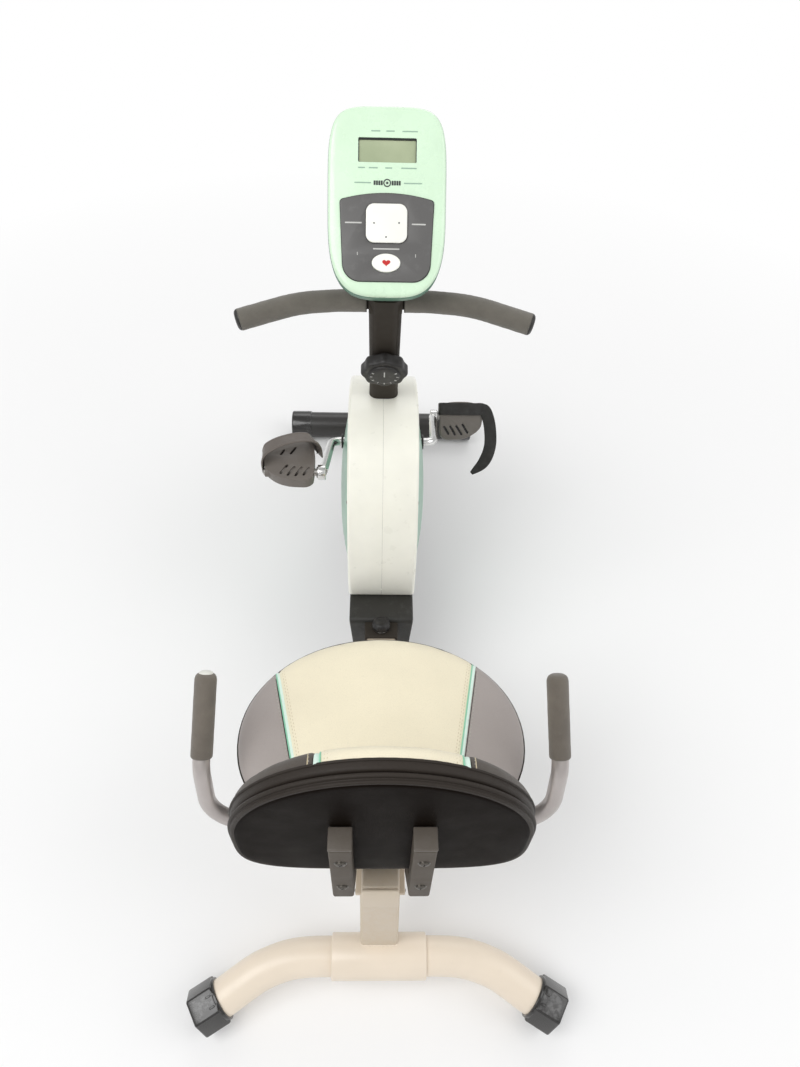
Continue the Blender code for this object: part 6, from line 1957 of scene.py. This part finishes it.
# ------------------------------------------------------------------ backrest tubes
TUBE_FRONT, TUBE_TOP = BACK_REAR - GAP, 0.6493
TUBE_LINE = rounded([(TUBE_FRONT - TUBE, TUBE_TOP), (TUBE_FRONT - TUBE, 0.4770),
                     (-0.5780, 0.3545), (-0.5320, 0.3545), (-0.5320, 0.3815),
                     (-0.5615, 0.3815), (TUBE_FRONT, 0.4835), (TUBE_FRONT, TUBE_TOP)],
                    [0, 0.020, 0.016, 0, 0, 0.008, 0.010, 0], 8)
for side, sign in SIDES:
    tube = plate("backrest_tube_" + side, [TUBE_LINE], TUBE, SIDE_AXES, at=sign * BACK_TUBE_X)
    stands_for = ["backrest_frame"] if side == "left" else []
    settle(soften(tube, 0.0032, 4, 50), "tube_paint", *stands_for, body="seat", angle=40)
    settle(box("backrest_tube_cap_" + side, (TUBE + 0.0006, TUBE + 0.0002, 0.0045),
               (sign * BACK_TUBE_X, TUBE_FRONT - TUBE / 2 - 0.0001, TUBE_TOP + GAP + 0.00225),
               bevel=0.0018), "plug_grey", "backrest_plug_" + side, body="seat")
settle(box("backrest_tie_bar", (2 * BACK_TUBE_X, 0.036, 0.0105), (0, -0.5530, 0.3600),
           bevel=0.0012), "graphite_paint", body="seat")
screws("backrest_tube_screws",
       [((sign * BACK_TUBE_X, TUBE_FRONT - TUBE - 0.0001, z), (0, -1, 0), 0.5 + sign)
        for sign in (-1, 1) for z in (0.610, 0.521)], 0.0062, 0.0030, body="seat")
for sign in (-1, 1):
    bead("weld_backrest_tie_%d" % (1 + sign),
         [Vector((sign * (BACK_TUBE_X - TUBE / 2), y, 0.3655))
          for y in (-0.5700, -0.5600, -0.5500, -0.5380)],
         0.0016, "graphite_paint", "seat", closed=False, seed=sign)

# ------------------------------------------------------------------ side handle and its grips
GRIP_R = 0.0153
grip_low = Vector((HANDLE_X, -0.4650, 0.4900))
grip_top = Vector((HANDLE_X - 0.0070, -0.3780, 0.5720))
grip_dir = (grip_top - grip_low).normalized()
grip_length = (grip_top - grip_low).length
right_handle = smooth_path([grip_top - grip_dir * 0.006, grip_low - grip_dir * 0.0125,
                            (HANDLE_X, -0.5050, 0.3660), (0.0, -0.5050, 0.3660)],
                           [0.055, 0.058], 14)[:-1]
left_handle = [on_side(p, -1) for p in right_handle]
settle(round_bar("seat_handle_tube", dense(left_handle + right_handle[::-1], 0.02), HANDLE_R,
                 fillet=0.0008), "silver_paint", "seat_handle", body="seat")


def grip_profile(sign, steps=44):
    """(radius, height): domed top, slightly uneven side, open foot round the tube."""
    dome_end = 0.0095
    top = [(0.0, 0.0), (0.0060, 0.0001), (0.0095, 0.0008), (0.0126, 0.0027), (0.0144, 0.0055),
           (GRIP_R, dome_end)]
    profile = [(radius, grip_length - drop) for radius, drop in top]
    for k in range(1, steps):
        height = grip_length - dome_end - (grip_length - 0.0125) * k / steps
        profile.append((GRIP_R + 0.00022 * noise.noise(Vector((height * 70, sign * 3, 0))),
                        height))
    return profile + [(GRIP_R, 0.0030), (0.0150, 0.0012), (0.0142, 0.0), (0.0134, 0.0),
                      (HANDLE_R + 0.0003, 0.0006), (HANDLE_R + 0.0003, 0.0040)]


def grip_place(sign):
    """Foot and direction of a grip."""
    lean = on_side(grip_dir, sign)
    return on_side(grip_low, sign) + lean * 0.004, lean


for side, sign in SIDES:
    settle(turned("seat_foam_grip_" + side, grip_profile(sign), *grip_place(sign), 56),
           "grip_foam", "seat_grip_" + side, body="seat", angle=0)
# (radius, height above the grip's top)
GRIP_CAP = [(0.0, 0.0022), (0.0045, 0.0021), (0.0076, 0.0014), (0.0094, 0.0002),
            (0.0100, -0.0014), (0.0094, -0.0040), (0.0, -0.0040)]
settle(turned("seat_grip_cap_left", [(radius, grip_length + rise) for radius, rise in GRIP_CAP],
              *grip_place(-1), 48), "cap_grey", body="seat")

# ------------------------------------------------------------------ pieces kept as in the CAD
KEPT = {"drive_pulley": "black_plastic", "crank_bearing_left": "zinc_steel",
        "crank_bearing_right": "zinc_steel", "drive_belt": "belt_rubber",
        "flywheel": "flywheel_iron", "flywheel_axle": "zinc_steel", "magnet_arm": "zinc_steel",
        "brake_magnet": "flywheel_iron", "resistance_cable": "black_plastic",
        "console_board": "circuit_board"}
for node_name, material_name in KEPT.items():
    if node_name in nodes:      # the frame may lack some of them
        kept = nodes[node_name]
        kept.data.materials.clear()
        kept.data.materials.append(MATERIALS[material_name].data)

for operand in scrap:
    bpy.data.objects.remove(operand, do_unlink=True)


# ------------------------------------------------------------------ floor and backdrop
def studio_floor():
    """Pale floor that fades, for the camera only, into the white backdrop."""
    mat = Material("studio_floor")
    tone = mat.patches(scale=0.6, detail=3)
    mat.set(Base_Color=mat.blend(tone, (0.90, 0.90, 0.90), (0.92, 0.92, 0.92)), Roughness=0.75,
            Normal=mat.bump(mat.noise(scale=220, detail=3), strength=0.03, distance=0.001))
    distance = mat.add("VectorMath", {0: mat.place}, operation='LENGTH').outputs["Value"]
    fade = mat.span(distance, over=(0.55, 2.2))
    glow = mat.add("Emission", {"Color": (1.0, 1.0, 1.0, 1.0), "Strength": 1.0}).outputs[0]
    seen = mat.times(fade, mat.add("LightPath", {}).outputs["Is Camera Ray"])
    mixed = mat.add("MixShader", {0: seen, 1: mat.surface.outputs[0], 2: glow}).outputs[0]
    mat.feed(mat.tree.nodes["Material Output"].inputs[0], mixed)
    half = 40
    ground = put("studio_ground", [(-half, -half, 0), (half, -half, 0), (half, half, 0),
                                   (-half, half, 0)], [(0, 1, 2, 3)])
    ground.data.materials.append(mat.data)


def studio_world():
    """White to the camera, a softer white as a light source."""
    world = bpy.data.worlds.new("studio")
    scene.world = world
    world.use_nodes = True
    tree = world.node_tree
    white = (1.0, 1.0, 1.0, 1.0)
    lighting = tree.nodes["Background"]
    lighting.inputs["Color"].default_value = white
    lighting.inputs["Strength"].default_value = 0.57
    backdrop = tree.nodes.new("ShaderNodeBackground")
    backdrop.inputs["Color"].default_value = white
    backdrop.inputs["Strength"].default_value = 1.0
    ray = tree.nodes.new("ShaderNodeLightPath")
    mix = tree.nodes.new("ShaderNodeMixShader")
    tree.links.new(ray.outputs["Is Camera Ray"], mix.inputs[0])
    tree.links.new(lighting.outputs[0], mix.inputs[1])
    tree.links.new(backdrop.outputs[0], mix.inputs[2])
    tree.links.new(mix.outputs[0], tree.nodes["World Output"].inputs[0])


# ------------------------------------------------------------------ lights and camera
def lamp(name, at, target, size, power):
    data = bpy.data.lights.new(name, 'AREA')
    data.shape = 'RECTANGLE'
    data.size, data.size_y = size
    data.energy = power
    obj = bpy.data.objects.new(name, data)
    scene.collection.objects.link(obj)
    obj.location = at
    obj.rotation_euler = (Vector(target) - Vector(at)).to_track_quat('-Z', 'Y').to_euler()


def camera():
    """Looks forward and down from behind and above the seat."""
    data = bpy.data.cameras.new("camera")
    obj = bpy.data.objects.new("camera", data)
    scene.collection.objects.link(obj)
    down, yaw, roll = radians(50.7718), radians(2.5292), radians(2.4998)
    view = Vector((sin(yaw) * cos(down), cos(yaw) * cos(down), -sin(down)))
    level = Vector((cos(yaw), -sin(yaw), 0))
    above = level.cross(view)
    right = level * cos(roll) + above * sin(roll)
    up = -level * sin(roll) + above * cos(roll)
    obj.matrix_world = axes(Vector((-0.0096, -0.942, 1.5765)), right, up, -view)
    data.lens = 27.606
    data.sensor_width = 36
    data.sensor_fit = 'AUTO'
    data.clip_start = 0.01
    scene.camera = obj


studio_floor()
studio_world()
lamp("key", at=(-1.6, -1.2, 3.0), target=(0, 0, 0.5), size=(2.4, 2.0), power=52)
lamp("fill", at=(2.4, -0.6, 2.2), target=(0, 0, 0.5), size=(2.2, 2.2), power=23)
lamp("front", at=(0.3, 3.0, 2.6), target=(0, 0.1, 0.6), size=(3.0, 1.8), power=24)
lamp("rear_low", at=(0.4, -3.0, 1.3), target=(0, -0.4, 0.4), size=(2.6, 1.4), power=3)
camera()
scene.view_settings.view_transform = 'Standard'
scene.view_settings.look = 'None'

bpy.context.view_layer.update()
